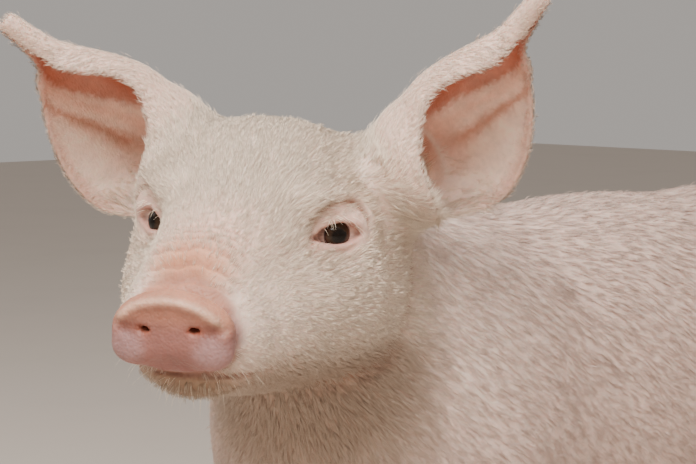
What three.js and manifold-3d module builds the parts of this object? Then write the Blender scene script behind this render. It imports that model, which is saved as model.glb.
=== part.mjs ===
// A life-size standing piglet of about six weeks, its head turned to its left and its ears spread.
// The flesh is one blended form, which is meshed piece by piece and parted with thin cuts.
// Millimetres. +Z is up and the floor is Z = 0. The body faces -Y, so the piglet's left is +X.
import * as THREE from "three";
import { mergeVertices } from "three/addons/utils/BufferGeometryUtils.js";
import Module from "manifold-3d";

const wasm = await Module();
wasm.setup();

const radiansOf = THREE.MathUtils.degToRad;

// ---------------------------------------------------------------- driving dimensions

const backHeight = 312; // floor to the top of the loin
const chestFloor = 138; // floor to the underside of the chest
const chestHalf = 68; // half the width of the rib cage
const frontStance = 95; // how far forward of mid-body the fore hooves stand
const rearStance = -160; // and the hind hooves
const stanceHalf = 38; // half the distance between a pair of feet
const stagger = 7; // each foot of a pair stands this far before or behind the other
const hoofHeight = 17;
const clawHalfWidth = 6.2;
const clawHalfLength = 13;
const toeSpread = 6.9; // from the middle of a foot to the middle of a claw

const eyeRadius = 9;
const eyeHalfGap = 32.5; // from the middle of the face to the centre of an eyeball
const eyeAim = radiansOf(46); // each eye looks this far to its own side
const orbitReach = 7.2; // how far from the eye's centre the flesh round it is laid open
const headPlace = { left: 52, forward: 228, up: 312 }; // midway between the eyes
const headTurn = 32; // degrees, to the piglet's left
const headDip = 1; // degrees, nose down
const headTilt = 3; // degrees, left side down

const discHalfWidth = 23.5; // the flat end of the snout
const discHalfHeight = 16;
const discThickness = 11;
const discSlant = 20; // degrees, the top edge ahead of the bottom one
const discPlace = { left: 0, forward: 82, up: -30 };
const nostrilHalfGap = 10.5;

const earLength = 88;
const earThickness = 3;
const cut = 0.4; // width of the cuts that part the body

// ---------------------------------------------------------------- places and frames

const point = (left, forward, up) => new THREE.Vector3(left, -forward, up);
const headFrame = new THREE.Matrix4()
  .makeRotationZ(radiansOf(headTurn))
  .multiply(new THREE.Matrix4().makeRotationX(radiansOf(headDip)))
  .multiply(new THREE.Matrix4().makeRotationY(radiansOf(headTilt)))
  .setPosition(point(headPlace.left, headPlace.forward, headPlace.up));
const intoHead = headFrame.clone().invert();
const discFrame = new THREE.Matrix4()
  .makeRotationX(radiansOf(discSlant))
  .setPosition(point(discPlace.left, discPlace.forward, discPlace.up));
const intoDisc = discFrame.clone().invert();

// ---------------------------------------------------------------- forms, as distances from their surface

// An ellipsoid of flesh.
const bulge = (centre, half) => (p) => {
  const x = p.x - centre.x;
  const y = p.y - centre.y;
  const z = p.z - centre.z;
  const near = Math.hypot(x / half[0], y / half[1], z / half[2]);
  const slope = Math.hypot(x / half[0] ** 2, y / half[1] ** 2, z / half[2] ** 2);
  return (near * (near - 1)) / Math.max(slope, 1e-9);
};

// A tapered limb with round ends. Its cross-section is widened sideways by the factor wide.
const limb = (from, fromRadius, to, toRadius, wide = 1) => {
  const a = from.clone();
  const axis = to.clone().sub(from);
  axis.x /= wide;
  const long = axis.length();
  const shrink = fromRadius - toRadius;
  const slant = Math.sqrt(Math.max(long ** 2 - shrink ** 2, 0));
  return (p) => {
    const v = new THREE.Vector3((p.x - a.x) / wide, p.y - a.y, p.z - a.z);
    const along = v.dot(axis) / long;
    const off = Math.sqrt(Math.max(v.lengthSq() - along ** 2, 0));
    const t = THREE.MathUtils.clamp((along * slant - off * -shrink) / (long * slant), 0, 1);
    const radius = fromRadius - shrink * t;
    return Math.hypot(along - t * long, off) - radius;
  };
};

// A flat disc with an oval outline and rounded edges, facing along -Y of its own frame.
const ovalDisc = (into, halfWidth, halfHeight, thickness, edge) => (p) => {
  const q = p.clone().applyMatrix4(into);
  const out = (Math.hypot(q.x / halfWidth, q.z / halfHeight) - 1) * Math.min(halfWidth, halfHeight);
  const side = out + edge;
  const face = Math.abs(q.y) - thickness / 2 + edge;
  return Math.hypot(Math.max(side, 0), Math.max(face, 0)) + Math.min(Math.max(side, face), 0) - edge;
};

// Two distances joined with a fillet whose size is soft.
const melt = (a, b, soft) => {
  const h = Math.max(soft - Math.abs(a - b), 0) / soft;
  return Math.min(a, b) - (h * h * soft) / 4;
};
const blend = (soft, forms) => (p) =>
  forms.reduce((far, form) => melt(far, form(p), soft), 1e3);
const pair = (make) => [make(1), make(-1)];

// ---------------------------------------------------------------- the body

const trunkForms = [
  bulge(point(0, 34, 221), [chestHalf - 2, 148, 222 - chestFloor]), // rib cage
  bulge(point(0, -52, 214), [chestHalf, 122, 215 - chestFloor]), // belly
  bulge(point(0, -48, backHeight - 62), [54, 134, 60]), // loin
  bulge(point(0, -134, 242), [60, 75, 68]), // rump
  bulge(point(0, 88, 255), [42, 66, 44]), // withers
  bulge(point(0, 134, chestFloor + 64), [52, 54, 58]), // brisket
  ...pair((side) => bulge(point(side * 40, 92, 216), [28, 54, 70])), // shoulders
  ...pair((side) => bulge(point(side * 36, -150, 206), [35, 58, 72])), // hams
];
const neckForms = [
  limb(point(0, 104, 240), 63, point(23, 170, 284), 53, 0.95),
  limb(point(4, 122, 212), 48, point(22, 164, 256), 41, 1),
];

const footPlace = (side, end) => {
  const step = side * stagger * (end === "front" ? 1 : -1);
  return { left: side * stanceHalf, forward: (end === "front" ? frontStance : rearStance) + step };
};
const toeForms = (foot) =>
  pair((toe) => bulge(point(foot.left + toe * toeSpread, foot.forward + 2, 19), [7, 11, 15]));
const foreLegForms = (side) => {
  const foot = footPlace(side, "front");
  const left = foot.left;
  const elbow = point(left + side * 2, foot.forward - 22, 142);
  const knee = point(left, foot.forward - 2, 86);
  const fetlock = point(left, foot.forward - 9, 38);
  return [
    limb(point(side * 42, foot.forward - 6, 190), 38, elbow, 27, 0.75),
    limb(elbow, 24, knee, 14, 0.9),
    bulge(knee, [14, 15, 18]),
    limb(knee, 12.6, fetlock, 11, 0.95),
    bulge(fetlock, [13.4, 12.5, 12]),
    ...toeForms(foot),
  ];
};
const hindLegForms = (side) => {
  const foot = footPlace(side, "rear");
  const left = foot.left;
  const stifle = point(side * 41, foot.forward + 46, 150);
  const hock = point(left, foot.forward - 18, 86);
  const heel = point(left, foot.forward - 31, 99);
  const fetlock = point(left, foot.forward - 9, 38);
  return [
    limb(point(side * 36, -136, 200), 50, stifle, 31, 0.7),
    limb(stifle, 29, hock, 14.5, 0.8),
    limb(point(side * 37, foot.forward - 6, 190), 34, heel, 9, 0.72), // the back of the thigh
    limb(point(side * 38, foot.forward + 6, 150), 26, point(left, foot.forward - 19, 98), 12, 0.8),
    limb(heel, 8, hock, 12.5),
    limb(hock, 13, fetlock, 11, 0.95),
    bulge(fetlock, [13.4, 12.5, 12]),
    ...toeForms(foot),
  ];
};

// ---------------------------------------------------------------- the head, in its own frame

const headForms = [
  bulge(point(0, -24, 8), [44, 46, 35]), // skull
  limb(point(0, -12, 10), 30, point(0, 52, -13), 19, 1.27), // forehead and bridge of the nose
  limb(point(0, 30, -28), 25, point(0, 62, -30), 19, 1.2), // muzzle
  ...pair((side) => limb(point(side * 23, -8, -28), 31, point(side * 11, 55, -33), 20)), // cheeks
  ...pair((side) => bulge(point(side * 27, -38, -22), [30, 36, 43])), // jowls
  limb(point(0, -18, -45), 25, point(0, 58, -46), 12.5, 1.3), // lower jaw
  ...pair((side) => bulge(point(side * 26, 0, 15), [15, 20, 10])), // brows
  ...pair((side) => limb(point(side * 30, 16, -21), 13.5, point(side * 36, -8, -14), 15)), // cheekbones
  limb(point(24, -34, 18), 26, point(44, -45, 22), 15), // the root of the left ear
  limb(point(-24, -34, 17), 26, point(-43, -45, 20), 15), // and of the right
];
const orbits = pair((side) => {
  const look = new THREE.Vector3(side * Math.sin(eyeAim), -Math.cos(eyeAim), 0);
  const eye = point(side * eyeHalfGap, 0, 0);
  return bulge(eye.addScaledVector(look, orbitReach + 16), [16, 16, 13]);
});
const disc = ovalDisc(intoDisc, discHalfWidth, discHalfHeight, discThickness, 4);
const headFlesh = (q) => {
  const solid = melt(blend(10, headForms)(q), disc(q), 4);
  return orbits.reduce((far, orbit) => -melt(-far, orbit(q), 7), solid);
};

// Each limb is blended by itself and then melts into the trunk.
const legs = {
  foreleg_left: blend(9, foreLegForms(1)),
  foreleg_right: blend(9, foreLegForms(-1)),
  hindleg_left: blend(9, hindLegForms(1)),
  hindleg_right: blend(9, hindLegForms(-1)),
};
const torso = blend(26, trunkForms);
const neck = blend(20, neckForms);
const flesh = (p) => {
  let far = melt(torso(p), neck(p), 34);
  for (const leg of Object.values(legs)) far = melt(far, leg(p), 16);
  return melt(far, headFlesh(p.clone().applyMatrix4(intoHead)), 12);
};

// ---------------------------------------------------------------- meshing

// The closed mesh of a form inside a box. Where two sheets of it would share an edge of the
// grid, the grid is moved a little and the form is meshed again.
function meshOf(form, low, high, cell) {
  for (const shift of [0, 0.37, 0.61, 0.17, 0.83, 0.49]) {
    const corner = low.map((x, k) => x - shift * cell[k]);
    const { positions, faces } = gridMesh(form, corner, high, cell);
    const edges = new Set(faces.map((a, n) => a + " " + faces[n % 3 === 2 ? n - 2 : n + 1]));
    if (edges.size === faces.length) return solidOf(positions, faces);
  }
  throw new Error("no grid parts the sheets of the form near " + low);
}

// One vertex in each cell that the surface crosses, drawn onto the surface, and one quad
// across each grid edge that it crosses.
function gridMesh(form, low, high, cell) {
  const count = [0, 1, 2].map((k) => Math.ceil((high[k] - low[k]) / cell[k]) + 1);
  const [nx, ny, nz] = count;
  const place = (i, j, k) =>
    new THREE.Vector3(low[0] + i * cell[0], low[1] + j * cell[1], low[2] + k * cell[2]);
  const at = (i, j, k) => (i * ny + j) * nz + k;
  const far = new Float64Array(nx * ny * nz);
  const onRim = (i, j, k) =>
    i === 0 || j === 0 || k === 0 || i === nx - 1 || j === ny - 1 || k === nz - 1;
  for (let i = 0; i < nx; i++)
    for (let j = 0; j < ny; j++)
      for (let k = 0; k < nz; k++) {
        const d = form(place(i, j, k));
        far[at(i, j, k)] = onRim(i, j, k) ? Math.max(d, 1) : d;
      }
  settle(far, count);
  const corners = [0, 1, 2, 3, 4, 5, 6, 7].map((c) => [c >> 2, (c >> 1) & 1, c & 1]);
  const edges = corners.flatMap((a, ia) =>
    corners.slice(ia + 1).flatMap((b) => {
      const apart = Math.abs(a[0] - b[0]) + Math.abs(a[1] - b[1]) + Math.abs(a[2] - b[2]);
      return apart === 1 ? [[a, b]] : [];
    }),
  );
  const vertex = new Map();
  const positions = [];
  for (let i = 0; i < nx - 1; i++)
    for (let j = 0; j < ny - 1; j++)
      for (let k = 0; k < nz - 1; k++) {
        const sum = new THREE.Vector3();
        let hits = 0;
        for (const [a, b] of edges) {
          const da = far[at(i + a[0], j + a[1], k + a[2])];
          const db = far[at(i + b[0], j + b[1], k + b[2])];
          if (da < 0 === db < 0) continue;
          const pa = place(i + a[0], j + a[1], k + a[2]);
          sum.add(pa.lerp(place(i + b[0], j + b[1], k + b[2]), da / (da - db)));
          hits++;
        }
        if (!hits) continue;
        let v = sum.divideScalar(hits);
        const inside = i > 0 && j > 0 && k > 0 && i < nx - 2 && j < ny - 2 && k < nz - 2;
        if (inside) v = drawn(form, v, Math.min(...cell) / 2);
        vertex.set(at(i, j, k), positions.length / 3);
        positions.push(v.x, v.y, v.z);
      }
  const faces = [];
  const quad = (a, b, c, d, flip) => {
    const q = [a, b, c, d].map((x) => vertex.get(x));
    if (flip) q.reverse();
    faces.push(q[0], q[1], q[2], q[0], q[2], q[3]);
  };
  for (let i = 0; i < nx - 1; i++)
    for (let j = 0; j < ny - 1; j++)
      for (let k = 0; k < nz - 1; k++) {
        const here = far[at(i, j, k)] < 0;
        if (j && k && here !== far[at(i + 1, j, k)] < 0)
          quad(at(i, j - 1, k - 1), at(i, j, k - 1), at(i, j, k), at(i, j - 1, k), !here);
        if (i && k && here !== far[at(i, j + 1, k)] < 0)
          quad(at(i - 1, j, k - 1), at(i - 1, j, k), at(i, j, k), at(i, j, k - 1), !here);
        if (i && j && here !== far[at(i, j, k + 1)] < 0)
          quad(at(i - 1, j - 1, k), at(i, j - 1, k), at(i, j, k), at(i - 1, j, k), !here);
      }
  return { positions, faces };
}

// Wherever only the opposite corners of a grid square agree, two sheets would touch along an
// edge, so the corner nearest the surface changes sides.
function settle(far, [nx, ny, nz]) {
  const steps = [ny * nz, nz, 1];
  for (let changes = 1, pass = 0; changes && pass < 12; pass++) {
    changes = 0;
    for (let i = 0; i < nx - 1; i++)
      for (let j = 0; j < ny - 1; j++)
        for (let k = 0; k < nz - 1; k++)
          for (const [p, q] of [[0, 1], [1, 2], [2, 0]]) {
            const a = i * steps[0] + j * steps[1] + k;
            const ring = [a, a + steps[p], a + steps[p] + steps[q], a + steps[q]];
            const [w, x, y, z] = ring.map((n) => far[n] < 0);
            if (w !== y || x !== z || w === x) continue;
            const weak = ring.reduce((m, n) => (Math.abs(far[n]) < Math.abs(far[m]) ? n : m));
            far[weak] = far[weak] < 0 ? 0.2 : -0.2;
            changes++;
          }
  }
}

// A vertex moved along the form's slope onto its surface, by no more than reach.
function drawn(form, start, reach) {
  const step = 0.4;
  const v = start.clone();
  for (let round = 0; round < 3; round++) {
    const d = form(v);
    const slope = new THREE.Vector3(
      form(v.clone().setX(v.x + step)) - form(v.clone().setX(v.x - step)),
      form(v.clone().setY(v.y + step)) - form(v.clone().setY(v.y - step)),
      form(v.clone().setZ(v.z + step)) - form(v.clone().setZ(v.z - step)),
    ).divideScalar(2 * step);
    v.addScaledVector(slope, -d / Math.max(slope.lengthSq(), 0.2));
  }
  const moved = v.clone().sub(start);
  return start.clone().add(moved.clampLength(0, reach));
}

// A closed solid from bare triangles, turned to face outward whichever way they were listed.
function solidOf(positions, faces) {
  const listed = (triangles) =>
    new wasm.Manifold(
      new wasm.Mesh({
        numProp: 3,
        vertProperties: new Float32Array(positions),
        triVerts: new Uint32Array(triangles),
      }),
    );
  const solid = listed(faces);
  return solid.volume() > 0 ? solid : listed([...faces].reverse());
}

// A three.js geometry as a solid.
function solidFrom(geometry, matrix = new THREE.Matrix4()) {
  const bare = new THREE.BufferGeometry();
  bare.setAttribute("position", geometry.getAttribute("position").clone());
  if (geometry.index) bare.setIndex(geometry.index.clone());
  bare.applyMatrix4(matrix);
  const merged = mergeVertices(bare, 1e-3);
  return solidOf(merged.attributes.position.array, merged.index.array);
}

// A solid's mesh as a three.js geometry.
function geometryOf(made) {
  const geometry = new THREE.BufferGeometry();
  geometry.setAttribute("position", new THREE.BufferAttribute(made.vertProperties, 3));
  geometry.setIndex(new THREE.BufferAttribute(made.triVerts, 1));
  geometry.computeVertexNormals();
  return geometry;
}

// A smooth solid with every vertex moved outward by gap.
function grown(solid, gap) {
  const geometry = geometryOf(solid.getMesh());
  const { position, normal } = geometry.attributes;
  for (let n = 0; n < position.array.length; n++) position.array[n] += normal.array[n] * gap;
  return solidOf(position.array, geometry.index.array);
}

const biggest = (solid) =>
  solid.decompose().reduce((best, next) => (next.volume() > best.volume() ? next : best));

// Everything on the far side of a plane, from gap beyond it, as a very large block.
function beyond(place, direction, gap) {
  const size = 900;
  const block = new THREE.BoxGeometry(size, size, size);
  const turned = new THREE.Quaternion().setFromUnitVectors(
    new THREE.Vector3(0, 0, 1),
    direction.clone().normalize(),
  );
  const centre = place.clone().addScaledVector(direction.clone().normalize(), size / 2 + gap);
  return solidFrom(block, new THREE.Matrix4().compose(centre, turned, new THREE.Vector3(1, 1, 1)));
}

// ---------------------------------------------------------------- where the body is parted

const neckFront = { place: point(22, 182, 300), direction: point(0.47, 0.74, 0.48) };
const neckBack = { place: point(0, 128, 250), direction: point(0.12, 0.86, 0.5) };
const muzzleCut = {
  place: point(0, 60, -30).applyMatrix4(headFrame),
  direction: point(0, 1, -0.15).transformDirection(headFrame),
};
const mouthCut = {
  place: point(0, 40, -46).applyMatrix4(headFrame),
  direction: point(0, 0.1, -1).transformDirection(headFrame),
};
const jawHinge = {
  place: point(0, 2, -50).applyMatrix4(headFrame),
  direction: point(0, 1, 0.25).transformDirection(headFrame),
};

// The arched block that takes one leg off the trunk, leaning in toward its top. Its faces are
// drawn in by gap.
function legBlock(side, end, gap) {
  const wide = 150;
  const tall = 260;
  const half = (end === "front" ? 56 : 78) - gap;
  const middle = end === "front" ? 86 : -152;
  const top = (end === "front" ? 208 : 226) - gap;
  const lean = radiansOf(12) * side;
  const arch = new THREE.Shape();
  arch.moveTo(-half, -tall);
  arch.lineTo(half, -tall);
  arch.lineTo(half, -half * 0.8);
  arch.absellipse(0, -half * 0.8, half, half * 0.8, 0, Math.PI, false);
  const block = new THREE.ExtrudeGeometry(arch, {
    depth: wide,
    bevelEnabled: false,
    curveSegments: 8,
  });
  const upright = new THREE.Matrix4().makeBasis(
    new THREE.Vector3(0, 1, 0),
    new THREE.Vector3(0, 0, 1),
    new THREE.Vector3(1, 0, 0),
  );
  upright.setPosition(side > 0 ? 26 + gap : -26 - gap - wide, 0, 0);
  const inward = new THREE.Matrix4().makeTranslation(0, 0, top);
  const turned = new THREE.Matrix4().makeRotationY(lean);
  const along = new THREE.Matrix4().makeTranslation(0, -middle, 0);
  const ownSide = beyond(point(side * cut, 0, 0), point(side, 0, 0), gap);
  return solidFrom(block, along.multiply(inward).multiply(turned).multiply(upright)).intersect(ownSide);
}

// ---------------------------------------------------------------- ears

// A smooth curve through evenly spaced values.
function through(values, t) {
  const last = values.length - 1;
  const spot = THREE.MathUtils.clamp(t, 0, 1) * last;
  const i = Math.min(Math.floor(spot), last - 1);
  const f = spot - i;
  const [a, b, c, d] = [i - 1, i, i + 1, i + 2].map((n) => values[Math.min(Math.max(n, 0), last)]);
  const bend = (2 * a - 5 * b + 4 * c - d) * f + (3 * (b - c) + d - a) * f * f;
  return b + 0.5 * f * (c - a + bend);
}

const earRun = [-22, earLength]; // the ear's length, from inside its root to its tip
const outerEdge = [-12, -25, -34.5, -37, -35, -30.5, -23.5, -14.5, -3.5, -0.5, 1]; // from the axis
const innerEdge = [8, 15.5, 22, 25, 23, 22.5, 19, 14, 9, 8, 8];
const curlStart = -50; // degrees that the section is turned at its outer edge
const curlEnd = [245, 187, 125, 112, 175, 240]; // and at its rolled inner edge, root to tip
const curlGather = 1.32; // above 1, the turning gathers at the inner edge
const earPoses = {
  left: { side: 1, root: point(56.7, -40.5, 25.6), rise: 52.5, lean: 11.5, face: 38, nod: 4.5, wide: 1.06 },
  right: { side: -1, root: point(-48.8, -42.5, 22.9), rise: 39, lean: 24.6, face: 13.7, nod: 18, wide: 1.12 },
};

// The middle of the ear's sheet in the head's frame: t runs root to tip, w across it.
function earPoint(pose, t, w) {
  const steps = 40;
  const along = THREE.MathUtils.lerp(...earRun, t);
  const outer = through(outerEdge, t) * pose.wide;
  const inner = through(innerEdge, t) * pose.wide;
  let across = 0;
  let deep = 0;
  let widest = 0;
  let here = null;
  for (let n = 0; n < steps; n++) {
    if (here === null && n >= w * steps) here = [across, deep];
    const turn = ((n + 0.5) / steps) ** curlGather;
    const angle = radiansOf(THREE.MathUtils.lerp(curlStart, through(curlEnd, t), turn));
    across += Math.cos(angle) / steps;
    deep += Math.sin(angle) / steps;
    widest = Math.max(widest, across);
  }
  here ??= [across, deep];
  const scale = (inner - outer) / widest;
  const axis = new THREE.Vector3(Math.cos(radiansOf(pose.rise)), 0, Math.sin(radiansOf(pose.rise)));
  axis.applyAxisAngle(new THREE.Vector3(0, 0, 1), -radiansOf(pose.lean));
  const facing = point(Math.sin(radiansOf(pose.face)), Math.cos(radiansOf(pose.face)), 0);
  facing.addScaledVector(axis, -facing.dot(axis)).normalize();
  const medial = new THREE.Vector3().crossVectors(facing, axis);
  const nod = pose.nod * t * t; // the tip bends forward
  const spot = new THREE.Vector3()
    .addScaledVector(axis, along)
    .addScaledVector(medial, outer + here[0] * scale)
    .addScaledVector(facing, here[1] * scale + nod);
  spot.x *= pose.side;
  return spot.add(pose.root);
}

// The ear as a closed solid: its inner and outer faces half a thickness from the sheet.
function earSolid(pose) {
  const rows = 12;
  const columns = 10;
  const positions = [];
  const faces = [];
  for (let i = 0; i <= rows; i++)
    for (let j = 0; j <= columns; j++) {
      const t = i / rows;
      const w = j / columns;
      const along = earPoint(pose, t + 0.01, w).sub(earPoint(pose, t - 0.01, w));
      const across = earPoint(pose, t, w + 0.02).sub(earPoint(pose, t, w - 0.02));
      const out = new THREE.Vector3().crossVectors(along, across).normalize();
      const thick = (earThickness / 2) * (1.25 - 0.5 * t);
      const middle = earPoint(pose, t, w);
      for (const way of [1, -1]) {
        const v = middle.clone().addScaledVector(out, way * thick);
        positions.push(v.x, v.y, v.z);
      }
    }
  const at = (i, j, face) => 2 * (i * (columns + 1) + j) + face;
  const quad = (a, b, c, d) => faces.push(a, b, c, a, c, d);
  for (let i = 0; i < rows; i++)
    for (let j = 0; j < columns; j++) {
      quad(at(i, j, 0), at(i + 1, j, 0), at(i + 1, j + 1, 0), at(i, j + 1, 0));
      quad(at(i, j, 1), at(i, j + 1, 1), at(i + 1, j + 1, 1), at(i + 1, j, 1));
    }
  for (let i = 0; i < rows; i++) {
    quad(at(i, 0, 0), at(i, 0, 1), at(i + 1, 0, 1), at(i + 1, 0, 0));
    quad(at(i, columns, 0), at(i + 1, columns, 0), at(i + 1, columns, 1), at(i, columns, 1));
  }
  for (let j = 0; j < columns; j++) {
    quad(at(0, j, 0), at(0, j + 1, 0), at(0, j + 1, 1), at(0, j, 1));
    quad(at(rows, j, 0), at(rows, j, 1), at(rows, j + 1, 1), at(rows, j + 1, 0));
  }
  return solidOf(positions, faces);
}

// ---------------------------------------------------------------- hooves, dewclaws and tail

// A claw: ovals stacked from the flat sole to the coronet, drawn out to a blunt toe in front.
function clawSolid(foot, toe) {
  const rings = [0, 0.12, 0.5, 1];
  const sides = 12;
  const points = [];
  for (const level of rings) {
    const swell = level === 0 ? 0.93 : 1.06 - 0.16 * level;
    const back = 4.5 * level; // the front wall slopes back as it rises
    for (let n = 0; n < sides; n++) {
      const angle = (n / sides) * 2 * Math.PI;
      const long = Math.cos(angle) * clawHalfLength * (Math.cos(angle) > 0 ? 1.05 : 0.72) * swell;
      const wide = Math.sin(angle) * clawHalfWidth * swell;
      const place = point(
        foot.left + toe * toeSpread + wide,
        foot.forward + 4 + long - back,
        level * hoofHeight,
      );
      points.push(place);
    }
  }
  const positions = points.flatMap((v) => [v.x, v.y, v.z]);
  const faces = [];
  for (let r = 0; r < rings.length - 1; r++)
    for (let n = 0; n < sides; n++) {
      const a = r * sides + n;
      const b = r * sides + ((n + 1) % sides);
      faces.push(a, a + sides, b, b, a + sides, b + sides);
    }
  for (let n = 1; n < sides - 1; n++) {
    faces.push(0, n, n + 1);
    const top = (rings.length - 1) * sides;
    faces.push(top, top + n + 1, top + n);
  }
  return solidOf(positions, faces);
}

function dewclawSolid(foot, toe) {
  const cone = new THREE.CylinderGeometry(4.6, 2.2, 12, 8, 1);
  const spot = point(foot.left + toe * 8.5, foot.forward - 19, 30);
  const turned = new THREE.Matrix4().makeRotationX(radiansOf(38)).setPosition(spot);
  return solidFrom(cone, turned);
}

// The tail hangs from the rump in one loose curl.
function tailSolid() {
  const curl = new THREE.CatmullRomCurve3(
    Array.from({ length: 15 }, (_, n) => {
      const t = n / 14;
      const turn = 2 * Math.PI * 1.05 * Math.max(t - 0.22, 0);
      const radius = 15 * Math.min(Math.max(t - 0.22, 0) * 4, 1);
      return point(
        radius * Math.sin(turn),
        -188 - 34 * Math.min(t * 3, 1) - 12 * t,
        backHeight - 36 - 46 * t + radius * (1 - Math.cos(turn)) * 0.9,
      );
    }),
  );
  const rings = 18;
  const sides = 7;
  const frames = curl.computeFrenetFrames(rings, false);
  const positions = [];
  const faces = [];
  for (let i = 0; i <= rings; i++) {
    const centre = curl.getPointAt(i / rings);
    const radius = 7.2 * (1 - 0.72 * (i / rings));
    for (let n = 0; n < sides; n++) {
      const angle = (n / sides) * 2 * Math.PI;
      const v = centre
        .clone()
        .addScaledVector(frames.normals[i], Math.cos(angle) * radius)
        .addScaledVector(frames.binormals[i], Math.sin(angle) * radius);
      positions.push(v.x, v.y, v.z);
    }
  }
  for (let i = 0; i < rings; i++)
    for (let n = 0; n < sides; n++) {
      const a = i * sides + n;
      const b = i * sides + ((n + 1) % sides);
      faces.push(a, b, a + sides, b, b + sides, a + sides);
    }
  for (let n = 1; n < sides - 1; n++) {
    faces.push(0, n + 1, n);
    faces.push(rings * sides, rings * sides + n, rings * sides + n + 1);
  }
  return solidOf(positions, faces);
}

// ---------------------------------------------------------------- the pieces

const skinMaterial = (color, roughness = 0.6) =>
  new THREE.MeshStandardMaterial({ color, roughness, metalness: 0 });
const coatPink = skinMaterial(0xe3c9bb);
const snoutPink = skinMaterial(0xc9958a, 0.42);
const earPink = skinMaterial(0xdcb3a2);
const hoofHorn = skinMaterial(0x8c7763, 0.5);
const eyeDark = skinMaterial(0x1d1310, 0.08);

// A solid's mesh with its very short edges closed up and the slivers beside them dropped.
function cleaned(solid) {
  const attempts = [0.12, 0.08, 0.05, 0.02, 0].flatMap((shortest) =>
    [cut / 3, cut / 5, cut / 9].map((loose) => [shortest, loose]),
  );
  for (const [shortest, loose] of attempts) {
    const made = solid.simplify(loose).getMesh();
    const spot = (n) => new THREE.Vector3().fromArray(made.vertProperties, 3 * n);
    const stands = Array.from({ length: made.numVert }, (_, n) => n);
    const settled = (n) => (stands[n] === n ? n : settled(stands[n]));
    for (let t = 0; t < made.numTri; t++)
      for (let e = 0; e < 3; e++) {
        const a = settled(made.triVerts[3 * t + e]);
        const b = settled(made.triVerts[3 * t + ((e + 1) % 3)]);
        const near = a !== b && spot(a).distanceTo(spot(b)) < shortest;
        if (near) stands[Math.max(a, b)] = Math.min(a, b);
      }
    const faces = [];
    for (let t = 0; t < made.numTri; t++) {
      const face = [0, 1, 2].map((e) => settled(made.triVerts[3 * t + e]));
      if (new Set(face).size === 3) faces.push(...face);
    }
    const edges = faces.map((a, n) => [a, faces[n % 3 === 2 ? n - 2 : n + 1]]);
    const key = (n) => spot(n).toArray().map((x) => x.toFixed(3)).join();
    const listed = new Set(edges.map(([a, b]) => key(a) + " " + key(b)));
    if (listed.size === edges.length) return solidOf(made.vertProperties, faces).getMesh();
  }
  throw new Error("a piece touches itself along an edge");
}

const piglet = new THREE.Group();
function add(name, solid, material) {
  const mesh = new THREE.Mesh(geometryOf(cleaned(solid)), material);
  mesh.name = name;
  piglet.add(mesh);
}

const headBox = [new THREE.Vector3(-46, -360, 220), new THREE.Vector3(134, -166, 384)];
const headWhole = meshOf(flesh, headBox[0].toArray(), headBox[1].toArray(), [10, 10, 10]);
const headGrown = grown(headWhole, cut);
const snoutCentre = point(0, 72, -28).applyMatrix4(headFrame);
const snoutWhole = meshOf(
  flesh,
  snoutCentre.clone().subScalar(40).toArray(),
  snoutCentre.clone().addScalar(40).toArray(),
  [6.5, 6.5, 6.5],
);
const nostrils = pair((side) => {
  const pit = new THREE.Matrix4().makeScale(3.6, 7, 2.6);
  pit.setPosition(point(side * nostrilHalfGap, discPlace.forward + 6, discPlace.up + 1));
  return solidFrom(new THREE.SphereGeometry(1, 8, 5), pit.premultiply(headFrame));
});
const sockets = pair((side) => {
  const centre = point(side * eyeHalfGap, 0, 0).applyMatrix4(headFrame);
  const place = new THREE.Matrix4().setPosition(centre);
  const ball = (radius) => solidFrom(new THREE.SphereGeometry(radius, 11, 7), place);
  return { side, eye: ball(eyeRadius), hollow: ball(eyeRadius + cut) };
});
const { place: frontPlace, direction: frontWay } = neckFront;
const { place: backPlace, direction: backWay } = neckBack;
let head = biggest(headWhole.intersect(beyond(frontPlace, frontWay, cut / 2)));
for (const socket of sockets) head = head.subtract(socket.hollow);
const muzzleBlock = (gap) => beyond(muzzleCut.place, muzzleCut.direction, gap);
const jawBlock = (gap) =>
  beyond(mouthCut.place, mouthCut.direction, gap).intersect(
    beyond(jawHinge.place, jawHinge.direction, gap),
  );
let snout = snoutWhole.intersect(muzzleBlock(cut)).subtract(jawBlock(-cut / 2));
for (const nostril of nostrils) snout = snout.subtract(nostril);
const jaw = head.intersect(jawBlock(cut / 2));
head = head.subtract(muzzleBlock(0)).subtract(jawBlock(-cut / 2));
add("head", biggest(head), coatPink);
add("snout", biggest(snout), snoutPink);
add("jaw", biggest(jaw), coatPink);
for (const socket of sockets) add(socket.side > 0 ? "eye_left" : "eye_right", socket.eye, eyeDark);
for (const [name, pose] of Object.entries(earPoses)) {
  const ear = solidFrom(geometryOf(earSolid(pose).getMesh()), headFrame);
  add("ear_" + name, biggest(ear.subtract(headGrown)), earPink);
}

const limbs = ["front", "rear"].flatMap((end) => pair((side) => ({ side, end })));
const neckWhole = meshOf(flesh, [-90, -290, 120], [120, -60, 380], [16, 16, 16]);
const trunkWhole = meshOf(flesh, [-100, -220, 118], [100, 250, 352], [23, 27, 23]);
let trunk = trunkWhole.subtract(beyond(backPlace, backWay, -cut / 2));
let neckPiece = neckWhole
  .intersect(beyond(backPlace, backWay, cut / 2))
  .subtract(beyond(frontPlace, frontWay, -cut / 2));
for (const { side, end } of limbs) {
  trunk = trunk.subtract(legBlock(side, end, 0));
  neckPiece = neckPiece.subtract(legBlock(side, end, 0));
}
add("trunk", biggest(trunk), coatPink);
add("neck", biggest(neckPiece), coatPink);
add("tail", biggest(tailSolid().subtract(grown(trunkWhole, cut))), coatPink);

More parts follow.
